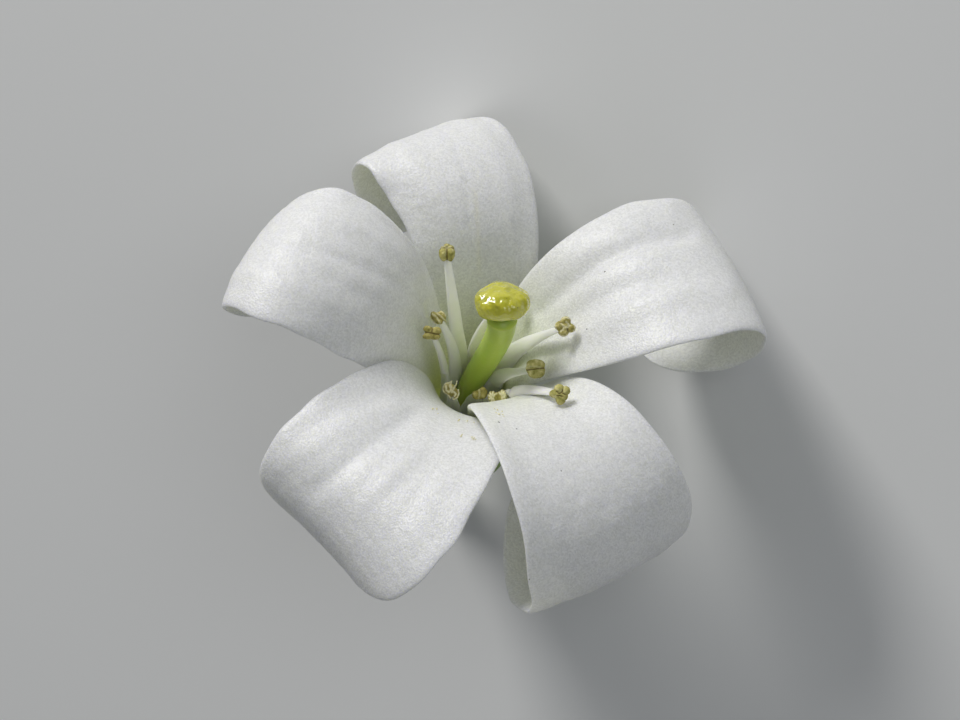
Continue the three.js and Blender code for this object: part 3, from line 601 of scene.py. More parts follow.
def petal_grid(number, p, nu, nv):
    sp = spine(p)
    t0 = min(0.0, (PETAL_SEAT - p["z0"]) / p["length"])
    t = t0 + (0.9996 - t0) * (1 - (1 - np.linspace(0, 1, nu + 1)) ** 1.25)
    x = np.linspace(-1, 1, nv + 1)
    v = np.sin(0.5 * math.pi * 0.93 * x) / math.sin(0.5 * math.pi * 0.93)
    T, V = np.meshgrid(t, v, indexing="ij")
    rng = np.random.default_rng(40 + number)
    ph = rng.uniform(0, 2 * math.pi, 8)
    free = step(0.42, 0.62, T)
    edge_side = np.where(V > 0, ph[0], ph[1])
    stretch = 1 + free * (0.012 * np.sin(2 * math.pi * 4.6 * T + edge_side) + 0.007 * np.sin(2 * math.pi * 10.3 * T + 2 * edge_side))
    P = petal_surface(p, sp, T, V, stretch)
    du = np.gradient(P, axis=0)
    dv = np.gradient(P, axis=1)
    n = np.cross(du, dv)
    n /= np.linalg.norm(n, axis=-1, keepdims=True)
    width = half_width(p, T, V)
    X = T * p["length"]
    Y = V * width
    relief = folds(number, T, V)
    relief += 0.011 * step(0.3, 0.55, T) * ripples(X, Y, 1.5, 70 + number)
    relief += 0.006 * step(0.3, 0.55, T) * ripples(X, Y, 0.45, 90 + number, 2)
    for path, height, spread in SEEN_FOLDS.get(number, []):
        line = through(path, 3.0)
        rows = [T[seen_at((T, V, P, n), px, py)] for px, py in line]
        low, high = min(rows), max(rows)
        c = P @ VIEW + CENTRE_SEEN
        sx, sy = 480 + 2860 * c[..., 0] / (110 - c[..., 2]), 360 - 2860 * c[..., 1] / (110 - c[..., 2])
        away = np.full(T.shape, 1e9)
        for (ax, ay), (bx, by) in zip(line[:-1], line[1:]):
            k = np.clip(((sx - ax) * (bx - ax) + (sy - ay) * (by - ay)) / ((bx - ax) ** 2 + (by - ay) ** 2), 0, 1)
            away = np.minimum(away, np.hypot(sx - ax - k * (bx - ax), sy - ay - k * (by - ay)))
        inside = step(low - 0.14, low + 0.02, T) * (1 - step(high - 0.03, high + 0.13, T))
        relief += height * inside * np.exp(-(away / spread) ** 2)
    for px, py, height, spread in DENTS.get(number, []):
        i, j = seen_at((T, V, P, n), px, py)
        relief += height * np.exp(-((X - X[i, j]) ** 2 + (Y - Y[i, j]) ** 2) / spread**2)
    relief += free * 0.05 * np.abs(V) ** 8 * np.sin(2 * math.pi * 6.3 * T + edge_side + 1.3)
    return T, V, P, n, width, relief, X, Y


def build_petal(number, p):
    nu, nv = 200, 84
    T, V, P, n, width, relief, X, Y = petal_grid(number, p, nu, nv)
    power = np.clip(4 + 12 * (width - 0.6) / 2.4, 4, 16)
    shell = np.sqrt(np.maximum(0, 1 - np.abs(V) ** power)) * np.sqrt(np.maximum(0, 1 - np.clip(T, 0, 1) ** 70))
    half = 0.5 * (0.27 - 0.06 * step(0.2, 0.9, T)) * shell
    fade = (1 - 0.6 * np.abs(V) ** 10)
    top = P + n * (relief * fade + half)[..., None]
    low = P + n * (relief * fade * 0.85 - half)[..., None]
    count = (nu + 1) * (nv + 1)
    idx = np.arange(count).reshape(nu + 1, nv + 1)
    lo = idx.copy()
    inner = np.zeros_like(idx, bool)
    inner[:-1, 1:-1] = True
    lo[inner] = count + np.arange(inner.sum())
    verts = np.concatenate([top.reshape(-1, 3), low[inner]])
    a, b, c, d = idx[:-1, :-1], idx[1:, :-1], idx[1:, 1:], idx[:-1, 1:]
    faces = np.stack([a, b, c, d], -1).reshape(-1, 4).tolist()
    a, b, c, d = lo[:-1, :-1], lo[:-1, 1:], lo[1:, 1:], lo[1:, :-1]
    faces += np.stack([a, b, c, d], -1).reshape(-1, 4).tolist()
    for j in range(nv):
        f = [idx[0, j], idx[0, j + 1], lo[0, j + 1], lo[0, j]]
        g = []
        for q in f:
            if q not in g:
                g.append(q)
        if len(g) > 2:
            faces.append(g)
    # colour guides
    claw = 1 - step(0.0, 0.50, T + 0.03 * np.abs(V))
    base = np.clip(claw * 0.95 + 0.05 * (1 - step(0.3, 0.6, T)), 0, 1)
    rim = np.exp(-((1 - np.abs(V)) * width / 0.14) ** 2) * step(0.05, 0.2, T)
    rim = np.maximum(rim, step(0.97, 1.0, T))
    fan = np.sin(V * (14 + 10 * T) * 1.9 + 0.6 * ripples(X, Y, 4.0, 5 + number, 1))
    vein = np.clip(fan * 1.4 - 0.55, 0, 1) * (1 - step(0.45, 0.95, T)) * step(0.0, 0.15, T)
    stain = np.zeros_like(T)
    if number == 1:
        c = P @ VIEW + CENTRE_SEEN
        sx, sy = 480 + 2860 * c[..., 0] / (110 - c[..., 2]), 360 - 2860 * c[..., 1] / (110 - c[..., 2])
        mid = np.interp(sy, [156, 190, 230, 267], [470, 474, 477, 478])
        stain = np.exp(-((sx - mid) / 2.2) ** 2) * step(170, 200, sy) * (1 - step(255, 285, sy)) * (1 - step(0.7, 0.75, T))
    both = lambda f: np.concatenate([f.ravel(), f[inner]])
    under = np.concatenate([np.where(inner | (np.abs(V) < 1), 0.0, 0.5).ravel(), np.ones(int(inner.sum()))])
    attrs = {"base": both(base), "rim": both(rim), "vein": both(vein), "stain": both(stain), "under": under}
    return verts, faces, attrs, (T, V, top, n)


# ---------------------------------------------------------------- sweeps
def bezier(points, k):
    p = np.asarray(points, float)
    k = k[:, None]
    c = (1 - k) ** 3 * p[0] + 3 * (1 - k) ** 2 * k * p[1] + 3 * (1 - k) * k * k * p[2] + k**3 * p[3]
    d = 3 * (1 - k) ** 2 * (p[1] - p[0]) + 6 * (1 - k) * k * (p[2] - p[1]) + 3 * k * k * (p[3] - p[2])
    return c, d / np.linalg.norm(d, axis=1, keepdims=True)


def sweep(centres, tangents, wides, half_w, half_d, sides, shape=1.0):
    n = len(centres)
    W = wides - tangents * np.sum(wides * tangents, 1, keepdims=True)
    W /= np.linalg.norm(W, axis=1, keepdims=True)
    D = np.cross(tangents, W)
    a = 2 * math.pi * np.arange(sides) / sides
    cx = np.sign(np.cos(a)) * np.abs(np.cos(a)) ** shape
    cy = np.sign(np.sin(a)) * np.abs(np.sin(a)) ** shape
    pts = (centres[:, None] + W[:, None] * (half_w[:, None] * cx)[..., None] + D[:, None] * (half_d[:, None] * cy)[..., None])
    verts = np.concatenate([pts.reshape(-1, 3), centres[:1], centres[-1:]])
    faces = []
    for i in range(n - 1):
        for k in range(sides):
            m = (k + 1) % sides
            faces.append((i * sides + k, i * sides + m, (i + 1) * sides + m, (i + 1) * sides + k))
    first, last = n * sides, n * sides + 1
    for k in range(sides):
        m = (k + 1) % sides
        faces.append((first, m, k))
        faces.append((last, (n - 1) * sides + k, (n - 1) * sides + m))
    return verts, faces, a


def build_filament(number, points, material):
    if number == 2:
        points = [points[0], [points[1][0] + 0.10, points[1][1], points[1][2]],
                  [points[2][0] + 0.12, points[2][1], points[2][2]], points[3]]
    if number == 10:
        points = [points[0], [points[1][0] + 0.06, points[1][1], points[1][2]],
                  [points[2][0] + 0.22, points[2][1] - 0.04, points[2][2]], points[3]]
    seg, sides = 70, 20
    k = np.linspace(0, 1, seg + 1)
    c, d = bezier(points, k)
    wide = np.stack([-c[:, 1], c[:, 0], np.zeros(len(c))], 1)
    wide /= np.maximum(np.linalg.norm(wide, axis=1, keepdims=True), 1e-9)
    ahead = np.cross(d, VIEW[:, 2])
    ahead /= np.linalg.norm(ahead, axis=1, keepdims=True)
    ahead *= np.where(np.sum(ahead * wide, 1) < 0, -1.0, 1.0)[:, None]
    share = FIL_TURN.get(number, 0.3) * (1 - step(0.7, 1.0, k))[:, None]
    wide = wide * (1 - share) + ahead * share
    wide /= np.linalg.norm(wide, axis=1, keepdims=True)
    # keep the wide side from flipping where the line passes close to the axis
    for i in range(1, len(wide)):
        if wide[i] @ wide[i - 1] < 0:
            wide[i] = -wide[i]
    hw = 0.5 * smooth([0, 0.2, 0.45, 0.72, 0.92, 1.0], FIL_W[number], k)
    hd = 0.5 * smooth([0, 0.3, 0.7, 0.92, 1.0], [0.26, 0.28, 0.24, 0.19, 0.14], k)
    wob = ripples(k * 8, np.zeros_like(k) + number, 2.2, 200 + number, 2)
    hw = hw * (1 + 0.035 * wob)
    last = c[-1:] + d[-1:] * 0.07
    c = np.concatenate([c, last])
    d = np.concatenate([d, d[-1:]])
    wide = np.concatenate([wide, wide[-1:]])
    hw = np.append(hw, hw[-1] * 0.7)
    hd = np.append(hd, hd[-1] * 0.7)
    k = np.append(k, 1.0)
    verts, faces, a = sweep(c, d, wide, hw, hd, sides)
    along = np.concatenate([np.repeat(k, sides), [0, 1]])
    ring = np.abs(np.cos(a)) ** 6
    streak = np.concatenate([np.tile(ring, seg + 2), [0, 0]])
    obj = make_object(f"filament_{number}_skin", verts, faces, material, {"along": along, "streak": streak})
    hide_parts(f"filament_{number}")
    return obj


# full width of each filament at six places from its foot to the anther
FIL_TURN = {2: 0.5, 4: 0.6, 5: 0.7, 6: 0.6, 7: 0.5, 8: 0.8, 9: 0.7}
FIL_W = {1: (0.60, 0.80, 0.80, 0.56, 0.38, 0.27), 2: (0.60, 0.74, 0.64, 0.45, 0.35, 0.24), 3: (0.60, 0.64, 0.50, 0.38, 0.31, 0.26),
         4: (0.80, 0.92, 0.80, 0.50, 0.36, 0.26), 5: (0.80, 0.92, 0.86, 0.62, 0.50, 0.30), 6: (0.60, 0.74, 0.66, 0.50, 0.38, 0.26),
         7: (0.60, 0.64, 0.52, 0.46, 0.44, 0.34), 8: (0.60, 0.82, 0.78, 0.58, 0.44, 0.30), 9: (0.60, 0.84, 0.86, 0.62, 0.36, 0.26),
         10: (0.50, 0.50, 0.44, 0.42, 0.42, 0.36)}

# Each anther as seen from the camera, in steps of 1/26 mm: where its middle is, the
# ellipsoid lobes (x, y, z, three radii, turn in the picture), the raised rims of its
# opened slits (points and half thickness) and how strongly the rims stand out.
ANTHERS = {
    1: dict(lobes=[(-3.7, -0.8, 0.5, 4.4, 7.6, 5.0, 4), (3.6, -0.3, 0.3, 4.4, 8.2, 5.0, -4), (0, 7.2, -1.5, 3.2, 2.4, 3.5, 0), (0, 0, -1.5, 5.5, 7.0, 4.5, 0)],
            ribs=[([(-1.5, 5.0), (-1.2, 1.0), (-1.5, -3.0)], 0.35), ([(-6.5, 5.2), (-3, 6.6), (0.5, 5.6), (4.5, 6.8)], 0.4)],
            slits=[[(0.0, 6.0), (0.1, 1.0), (0.0, -7.0)], [(-7.0, 4.4), (-3.5, 5.4), (-1.0, 4.8)], [(1.4, 5.2), (4.5, 5.6), (7.0, 4.2)]]),
    2: dict(lobes=[(-4.0, 1.5, 1.0, 3.5, 5.0, 4.0, 30), (3.5, 1.5, 1.0, 3.6, 5.2, 4.0, 30), (0, -3.5, 1.0, 4.5, 3.0, 4.0, -25), (0, 0, -0.6, 6.0, 5.6, 4.2, 0)],
            ribs=[([(-2, 4.6), (1.5, 1.8), (5, -1.5), (8, -5)], 0.9), ([(-8.5, 1.5), (-7, -1.5), (-4.5, -4.5), (-1, -6.8)], 0.8),
                  ([(-6.5, 3.5), (-3, 1.2), (-0.5, -2), (1.5, -5.5)], 0.8), ([(1.5, 6.5), (5, 4.5), (7.5, 1)], 0.9)]),
    3: dict(lobes=[(-4.0, 3.6, 0.5, 4.8, 3.8, 4.0, -20), (4.5, 1.8, 0.5, 5.0, 4.4, 4.0, 10), (-3.8, -3.0, 0.5, 5.8, 3.3, 4.0, 6), (3.0, -3.6, 0.5, 5.6, 3.2, 4.0, 0), (0, 0, 0.2, 7.4, 5.8, 4.2, 0)],
            ribs=[], slits=[[(-9, 1.2), (-3, 0.2), (2, -0.9), (9, -1.4)], [(0.4, 6.0), (0.2, 2.5), (-0.4, 0.0)]]),
    4: dict(lobes=[(0, 0, -2.0, 5.5, 7.0, 4.0, 20), (-3.5, 1.0, -1.0, 4.0, 5.5, 3.4, 15), (3.2, -2.0, -1.0, 3.6, 6.0, 3.4, 10)],
            ribs=[([(-8.2, 0.6), (-6, 6.1), (-1, 7.8), (1.2, 9.4)], 0.9), ([(1.2, 9.4), (-0.4, 5), (1.2, 2.2)], 0.8),
                  ([(6.2, 10), (5.1, 5.6), (2.3, 1.1), (0.7, -2.2)], 0.9), ([(-8.2, 0.6), (-7.1, -2.2), (-3.8, -4.4), (-1.6, -6.7), (-0.4, -8.9)], 0.85),
                  ([(7.3, 1.1), (7.9, -3.3), (5.7, -8.3), (1.2, -9.4)], 0.85), ([(-5, 4), (-4.5, 0), (-2, -2), (0, 1), (-1.5, 4.5)], 0.7),
                  ([(2.3, -1.7), (4.6, -3.3), (3.4, -6.7)], 0.7)]),
    5: dict(lobes=[(3.0, 1.0, 0.0, 4.5, 6.0, 4.0, 0), (-4.0, -1.0, 0.5, 4.0, 4.5, 4.0, 20), (0, 0, -1.0, 4.5, 5.0, 4.0, 0)], ribs=[([(-1, 5), (-0.5, 0), (-1.5, -4)], 0.6)]),
    6: dict(lobes=[(-5.6, -0.4, 0.6, 4.6, 5.8, 4.5, 0), (4.8, 0.8, 0.6, 4.8, 6.0, 4.4, 0), (-0.5, 0, -1.0, 5.0, 4.6, 3.6, 0)],
            ribs=[([(cx + 1.4 * math.cos(math.radians(q)), cy + 1.4 * math.sin(math.radians(q))),
                    (cx + 3.4 * math.cos(math.radians(q + 8)), cy + 4.2 * math.sin(math.radians(q + 8))),
                    (cx + 4.9 * math.cos(math.radians(q)), cy + 6.2 * math.sin(math.radians(q)))], 0.7)
                  for cx, cy, turns in ((-5.6, -0.4, (30, 75, 118, 160, 204, 246, 290)), (4.8, 0.8, (-50, -12, 24, 62, 100, 140, 250))) for q in turns]),
    7: dict(lobes=[(-0.6, 5.4, 0.5, 5.4, 4.7, 4.5, 0), (5.8, 3.2, 0.3, 4.6, 4.8, 4.2, 0), (-6.0, 0.4, 0.0, 4.8, 4.2, 4.0, 10), (0.6, -6.0, 0.0, 4.9, 4.9, 4.0, 0), (3.6, -2.2, 0.2, 4.4, 4.6, 4.2, 0), (0, 0, 0.2, 7.0, 7.0, 4.2, 0)],
            ribs=[], slits=[[(-3.4, -1.6), (0.0, -2.0), (3.0, -2.6)], [(2.6, 4.6), (1.8, 1.8), (-1.0, 0.6), (-3.6, 2.6)], [(2.6, 0.6), (5.4, -0.6)]]),
    8: dict(lobes=[(0.4, 4.4, 0.6, 9.4, 5.2, 5.0, -2), (1.0, -4.4, 0.4, 8.4, 5.4, 4.8, 4), (0, 0, 0.4, 9.8, 7.6, 4.4, 0)],
            ribs=[([(-8.8, 0.8), (-5.0, 2.2), (0.0, 2.4), (5.0, 1.6)], 0.35)], slits=[[(-9.0, -1.6), (-5.0, -0.9), (-1.0, -0.5), (3.0, 0.1), (7.0, 0.5), (10.8, 0.6)]]),
    9: dict(lobes=[(0.6, 5.6, 0.3, 5.2, 4.6, 4.4, 0), (-5.6, 0.6, 0.8, 4.8, 4.8, 4.2, 0), (6.0, -1.6, 0.2, 4.6, 4.4, 4.3, 0), (-1.5, -5.6, 0.2, 5.2, 4.4, 4.4, 0), (0, 0, 0.2, 6.8, 6.8, 4.2, 0)],
            ribs=[([(-4, 3), (-1.5, 0.5), (2, -1), (4.5, 1)], 0.7), ([(-1.5, 0.5), (-2, -3), (-4.5, -4.5)], 0.6), ([(-3.6, 7.6), (0.0, 9.2), (4.0, 8.0)], 0.6),
                  ([(-9.2, 3.6), (-9.6, 0.0), (-8.4, -3.2)], 0.6), ([(9.0, 1.6), (10.0, -1.6), (8.6, -4.6)], 0.6), ([(-5.2, -8.0), (-1.5, -9.4), (2.4, -8.4)], 0.6), ([(1.2, 4.6), (3.2, 2.6), (3.8, 0.0)], 0.6)],
            slits=[[(-5.5, 4.2), (-3.2, 3.0)], [(3.0, -4.6), (2.4, -2.2)]]),
    10: dict(lobes=[(-3.6, 2.5, 0.5, 4.2, 6.0, 4.2, -25), (4.0, -0.5, 0.5, 4.2, 6.2, 4.2, -25), (0, 0, -1.0, 5.0, 5.5, 4.0, 0)], ribs=[([(-1, 5), (1.0, 0), (1.5, -5)], 0.6)]),
}
# where the middle of each anther is seen, in pixels of the 960 x 720 picture (10 is hidden)
ANTHER_AT = {1: (447, 253), 2: (438.6, 317.5), 3: (432, 333), 4: (451, 390), 5: (480, 394), 6: (498, 396.5), 7: (560, 394), 8: (535.4, 368.7), 9: (565, 326.6)}


def ball(bm, centre, radii, turn):
    made = bmesh.ops.create_icosphere(bm, subdivisions=4, radius=1.0)
    c, s = math.cos(math.radians(turn)), math.sin(math.radians(turn))
    for v in made["verts"]:
        x, y, z = v.co.x * radii[0], v.co.y * radii[1], v.co.z * radii[2]
        v.co = Vector((centre[0] + c * x - s * y, centre[1] + s * x + c * y, centre[2] + z))


def face_height(lobes, x, y):
    best = -0.5
    for cx, cy, cz, rx, ry, rz, turn in lobes:
        c, s = math.cos(math.radians(turn)), math.sin(math.radians(turn))
        u = (c * (x - cx) + s * (y - cy)) / rx
        w = (-s * (x - cx) + c * (y - cy)) / ry
        q = 1 - u * u - w * w
        if q > 0:
            best = max(best, cz + rz * math.sqrt(q))
    return best


def tube(bm, points, radius):
    sides = 10
    rings = []
    for i, p in enumerate(points):
        a = points[max(0, i - 1)]
        b = points[min(len(points) - 1, i + 1)]
        t = (Vector(b) - Vector(a)).normalized()
        side = t.cross(Vector((0, 0, 1))).normalized()
        up = side.cross(t)
        end = 0.75 if i in (0, len(points) - 1) else 1.0
        rings.append([bm.verts.new(Vector(p) + (side * math.cos(q) + up * math.sin(q)) * radius * end)
                      for q in (2 * math.pi * k / sides for k in range(sides))])
    for r0, r1 in zip(rings[:-1], rings[1:]):
        for k in range(sides):
            m = (k + 1) % sides
            bm.faces.new((r0[k], r0[m], r1[m], r1[k]))
    bm.faces.new(rings[0][::-1])
    bm.faces.new(rings[-1])


def through(points, step_length=0.7):
    """More points on a smooth line through the given ones."""
    p = np.array(points, float)
    k = np.concatenate([[0], np.cumsum(np.linalg.norm(np.diff(p, axis=0), axis=1))])
    q = np.linspace(0, k[-1], max(3, int(k[-1] / step_length)))
    if len(p) == 2:
        return np.stack([np.interp(q, k, p[:, 0]), np.interp(q, k, p[:, 1])], 1)
    return np.stack([smooth(k, p[:, 0], q), smooth(k, p[:, 1], q)], 1)


def build_anther(number, points, material):
    shape = ANTHERS[number]
    c, d = bezier(points, np.array([1.0]))
    middle = c[0] + d[0] * (0.25 + 0.03)
    seen = middle @ VIEW + CENTRE_SEEN
    unit = (110.0 - seen[2]) / 2860.0
    if number in ANTHER_AT:
        px, py = ANTHER_AT[number]
        seen = np.array([(px - 480) * unit, (360 - py) * unit, seen[2]])
    bm = bmesh.new()
    for cx, cy, cz, rx, ry, rz, turn in shape["lobes"]:
        ball(bm, (cx, cy, cz), (rx, ry, rz), turn)
    rims = []
    rng = np.random.default_rng(500 + number)
    for path, radius in shape["ribs"]:
        line = through(path)
        front = [(x, y, face_height(shape["lobes"], x, y) - 0.15 + 0.5 * math.sin(1.3 * i + number) + 0.3 * math.sin(2.9 * i)) for i, (x, y) in enumerate(line)]
        back = [(x, y, -max(0.0, z) - 1.5) for x, y, z in front]
        tube(bm, front, radius * 0.78)
        tube(bm, back, radius * 0.78)
        rims += [(x, y, z, LIP[number]) for x, y, z in front + back]
    raw = bpy.data.meshes.new("rough")
    bm.to_mesh(raw)
    bm.free()
    rough = bpy.data.objects.new("rough", raw)
    bpy.context.scene.collection.objects.link(rough)
    rm = rough.modifiers.new("one skin", "REMESH")
    rm.mode = "VOXEL"
    rm.voxel_size = 0.42
    whole = rough.evaluated_get(bpy.context.evaluated_depsgraph_get()).to_mesh()
    v = np.empty(len(whole.vertices) * 3)
    whole.vertices.foreach_get("co", v)
    v = v.reshape(-1, 3)
    faces = [list(p.vertices) for p in whole.polygons]
    edges = np.empty(len(whole.edges) * 2, int)
    whole.edges.foreach_get("vertices", edges)
    edges = edges.reshape(-1, 2)
    island = np.arange(len(v))
    while True:
        low = np.minimum(island[edges[:, 0]], island[edges[:, 1]])
        joined = island.copy()
        np.minimum.at(joined, edges[:, 0], low)
        np.minimum.at(joined, edges[:, 1], low)
        joined = joined[joined]
        if (joined == island).all():
            break
        island = joined
    # loose crumbs that the frills leave are dropped, and the one body stays
    kept = island == np.bincount(island).argmax()
    place = np.cumsum(kept) - 1
    v = v[kept]
    faces = [[int(place[i]) for i in f] for f in faces if kept[f[0]]]
    edges = place[edges[kept[edges[:, 0]]]]
    rough.to_mesh_clear()
    bpy.data.objects.remove(rough)
    bpy.data.meshes.remove(raw)

    count = np.bincount(edges.ravel(), minlength=len(v))[:, None]

    def relax(p):
        out = np.zeros_like(p)
        np.add.at(out, edges[:, 0], p[edges[:, 1]])
        np.add.at(out, edges[:, 1], p[edges[:, 0]])
        return out / count

    for _ in range(3):
        v = 0.5 * v + 0.5 * relax(v)
    flow = v
    for _ in range(14):
        flow = relax(flow)
    away = v - v.mean(0)
    away /= np.linalg.norm(away, axis=1, keepdims=True)
    sunk = np.sum((flow - v) * away, 1)
    rim = np.zeros(len(v))
    if rims:
        r = np.array(rims)[:, :3]
        for i in range(0, len(v), 2000):
            rim[i:i + 2000] = np.sqrt(((v[i:i + 2000, None] - r[None]) ** 2).sum(-1)).min(1)
        rim = (1 - step(0.7, 1.4, rim)) * LIP[number]
    # slits that stay shut: narrow grooves on the side that is seen, painted dark as shade
    groove = np.zeros(len(v))
    for path in shape.get("slits", []):
        line = through(path, 0.35)
        gap = np.hypot(v[:, None, 0] - line[None, :, 0], v[:, None, 1] - line[None, :, 1]).min(1)
        groove = np.maximum(groove, (1 - step(0.25, 1.1, gap)) * step(-1.0, 1.0, v[:, 2]))
    v = v - away * (0.7 * groove)[:, None]
    # the sides of the anther turned away from the camera, painted darker as shade round its outline
    side = 1 - step(-0.25, 0.45, away[:, 2])
    v = v + away * (0.30 * ripples(v[:, 0] + v[:, 2], v[:, 1] - v[:, 2], 4.5, 400 + number, 3))[:, None]
    verts = ((seen + v * unit) - CENTRE_SEEN) @ VIEW.T
    # painted_crease_shade: painted shade in the slits, in the hollows between the lobes and on the sides turned from
    # the camera
    obj = make_object(f"anther_{number}_skin", verts, faces, material,
                      {"lip": rim, "painted_crease_shade": np.clip(np.maximum(step(0.06, 0.5, sunk), groove) + 0.45 * side, 0, 1) * (1 - 0.8 * rim), "shade": np.full(len(v), ANTHER_TONE[number])})
    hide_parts(f"anther_{number}")
    return obj


# 0 pale cream, 1 brown
ANTHER_TONE = {1: 0.3, 2: 0.6, 3: 0.6, 4: 0.85, 5: 0.7, 6: 0.6, 7: 0.2, 8: 0.2, 9: 0.6, 10: 0.4}
# how pale the raised rims are
LIP = {1: 0.35, 2: 0.75, 3: 0.4, 4: 1.0, 5: 0.5, 6: 1.0, 7: 0.4, 8: 0.35, 9: 0.8, 10: 0.5}


def build_style(material):
    line = np.array(STYLE_LINE)
    n = len(line)
    knots = np.linspace(0, 1, n)
    k = np.linspace(0, 1, 121)
    c = np.stack([smooth(knots, line[:, i], k) for i in range(3)], 1)
    r = smooth(knots, line[:, 3], k)
    r = r + 0.04 * step(0.92, 1.0, k)
    d = np.gradient(c, axis=0)
    d /= np.linalg.norm(d, axis=1, keepdims=True)
    wide = np.tile([1.0, 0, 0], (121, 1))
    sides = 48
    r = r * (1 + 0.012 * ripples(k * 9, k * 0, 1.6, 11, 2))
    verts, faces, a = sweep(c, d, wide, r, r * 0.98, sides)
    along = np.concatenate([np.repeat(k, sides), [0, 1]])
    obj = make_object("style_skin", verts, faces, material, {"along": along})
    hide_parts("style")


# outline of the stigma in the 960 x 720 picture, closed, and a point inside it
STIGMA_OUTLINE = [(474, 296), (479, 290), (490, 283), (498, 280.5), (507, 281), (518, 286), (527, 291), (531, 298),
                  (530.5, 308), (525, 316), (517, 320), (501, 321.5), (487, 320.5), (479, 317), (475, 307), (474, 296)]
STIGMA_MIDDLE = np.array([502.5, 301.5])


def build_stigma(material):
    bm = bmesh.new()
    bmesh.ops.create_icosphere(bm, subdivisions=6, radius=1.0)
    u = np.array([v.co[:] for v in bm.verts])
    faces = [[v.index for v in f.verts] for f in bm.faces]
    bm.free()
    rho = np.hypot(u[:, 0], u[:, 1])
    f = (rho**2.5 + np.abs(u[:, 2]) ** 2.5) ** (-1 / 2.5)
    x, y, z = u[:, 0] * f, u[:, 1] * f, u[:, 2] * f
    az = np.arctan2(y, x)
    top = step(-0.1, 0.5, z)
    r = 1 + 0.012 * np.sin(5 * az + 1.0) * (1 - top) + 0.02 * np.sin(7 * az + 2.2) * top * rho
    lumps = ripples(x * 3 + 0.6 * z, y * 3 - 0.8 * z, 1.7, 21, 3)
    r += top * (0.045 * lumps + 0.010 * ripples(x * 3 + z, y * 3, 0.8, 22, 2))
    q = np.stack([x * r * 1.02, y * r * 0.96, z * r * 0.545], 1)
    a = STIGMA_AXIS / np.linalg.norm(STIGMA_AXIS)
    ex = np.array([1.0, 0, 0]) - a * a[0]
    ex /= np.linalg.norm(ex)
    verts = STIGMA_CENTRE + q @ np.stack([ex, np.cross(a, ex), a])
    # pull the outline that the camera sees to the slightly angular one of the flower
    c = verts @ VIEW + CENTRE_SEEN
    unit = (110.0 - c[:, 2]) / 2860.0
    flat = np.stack([c[:, 0] / unit + 480, 360 - c[:, 1] / unit], 1) - STIGMA_MIDDLE
    turn = np.arctan2(flat[:, 1], flat[:, 0])
    out = np.hypot(flat[:, 0], flat[:, 1])
    bins = np.linspace(-math.pi, math.pi, 73)
    which = np.clip(np.digitize(turn, bins) - 1, 0, 71)
    far = np.array([out[which == i].max() for i in range(72)])
    mid = 0.5 * (bins[1:] + bins[:-1])
    far = np.interp(turn, mid, far, period=2 * math.pi)
    line = np.array(STIGMA_OUTLINE, float) - STIGMA_MIDDLE
    line = np.concatenate([line[:-1, None] * (1 - np.linspace(0, 1, 12, endpoint=False))[None, :, None]
                           + line[1:, None] * np.linspace(0, 1, 12, endpoint=False)[None, :, None]]).reshape(-1, 2)
    goal_at = np.arctan2(line[:, 1], line[:, 0])
    order = np.argsort(goal_at)
    goal = np.interp(mid, goal_at[order], np.hypot(line[:, 0], line[:, 1])[order], period=2 * math.pi)
    goal = np.convolve(np.concatenate([goal[-2:], goal, goal[:2]]), [0.1, 0.2, 0.4, 0.2, 0.1], "valid")
    want = np.interp(turn, mid, goal, period=2 * math.pi)
    share = np.clip(out / far, 0, 1) ** 2
    flat *= (1 + (want / far - 1) * share)[:, None]
    c[:, 0] = (flat[:, 0] + STIGMA_MIDDLE[0] - 480) * unit
    c[:, 1] = (360 - flat[:, 1] - STIGMA_MIDDLE[1]) * unit
    verts = (c - CENTRE_SEEN) @ VIEW.T
    obj = make_object("stigma_skin", verts, faces, material, {"low": 1 - top})
    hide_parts("stigma")


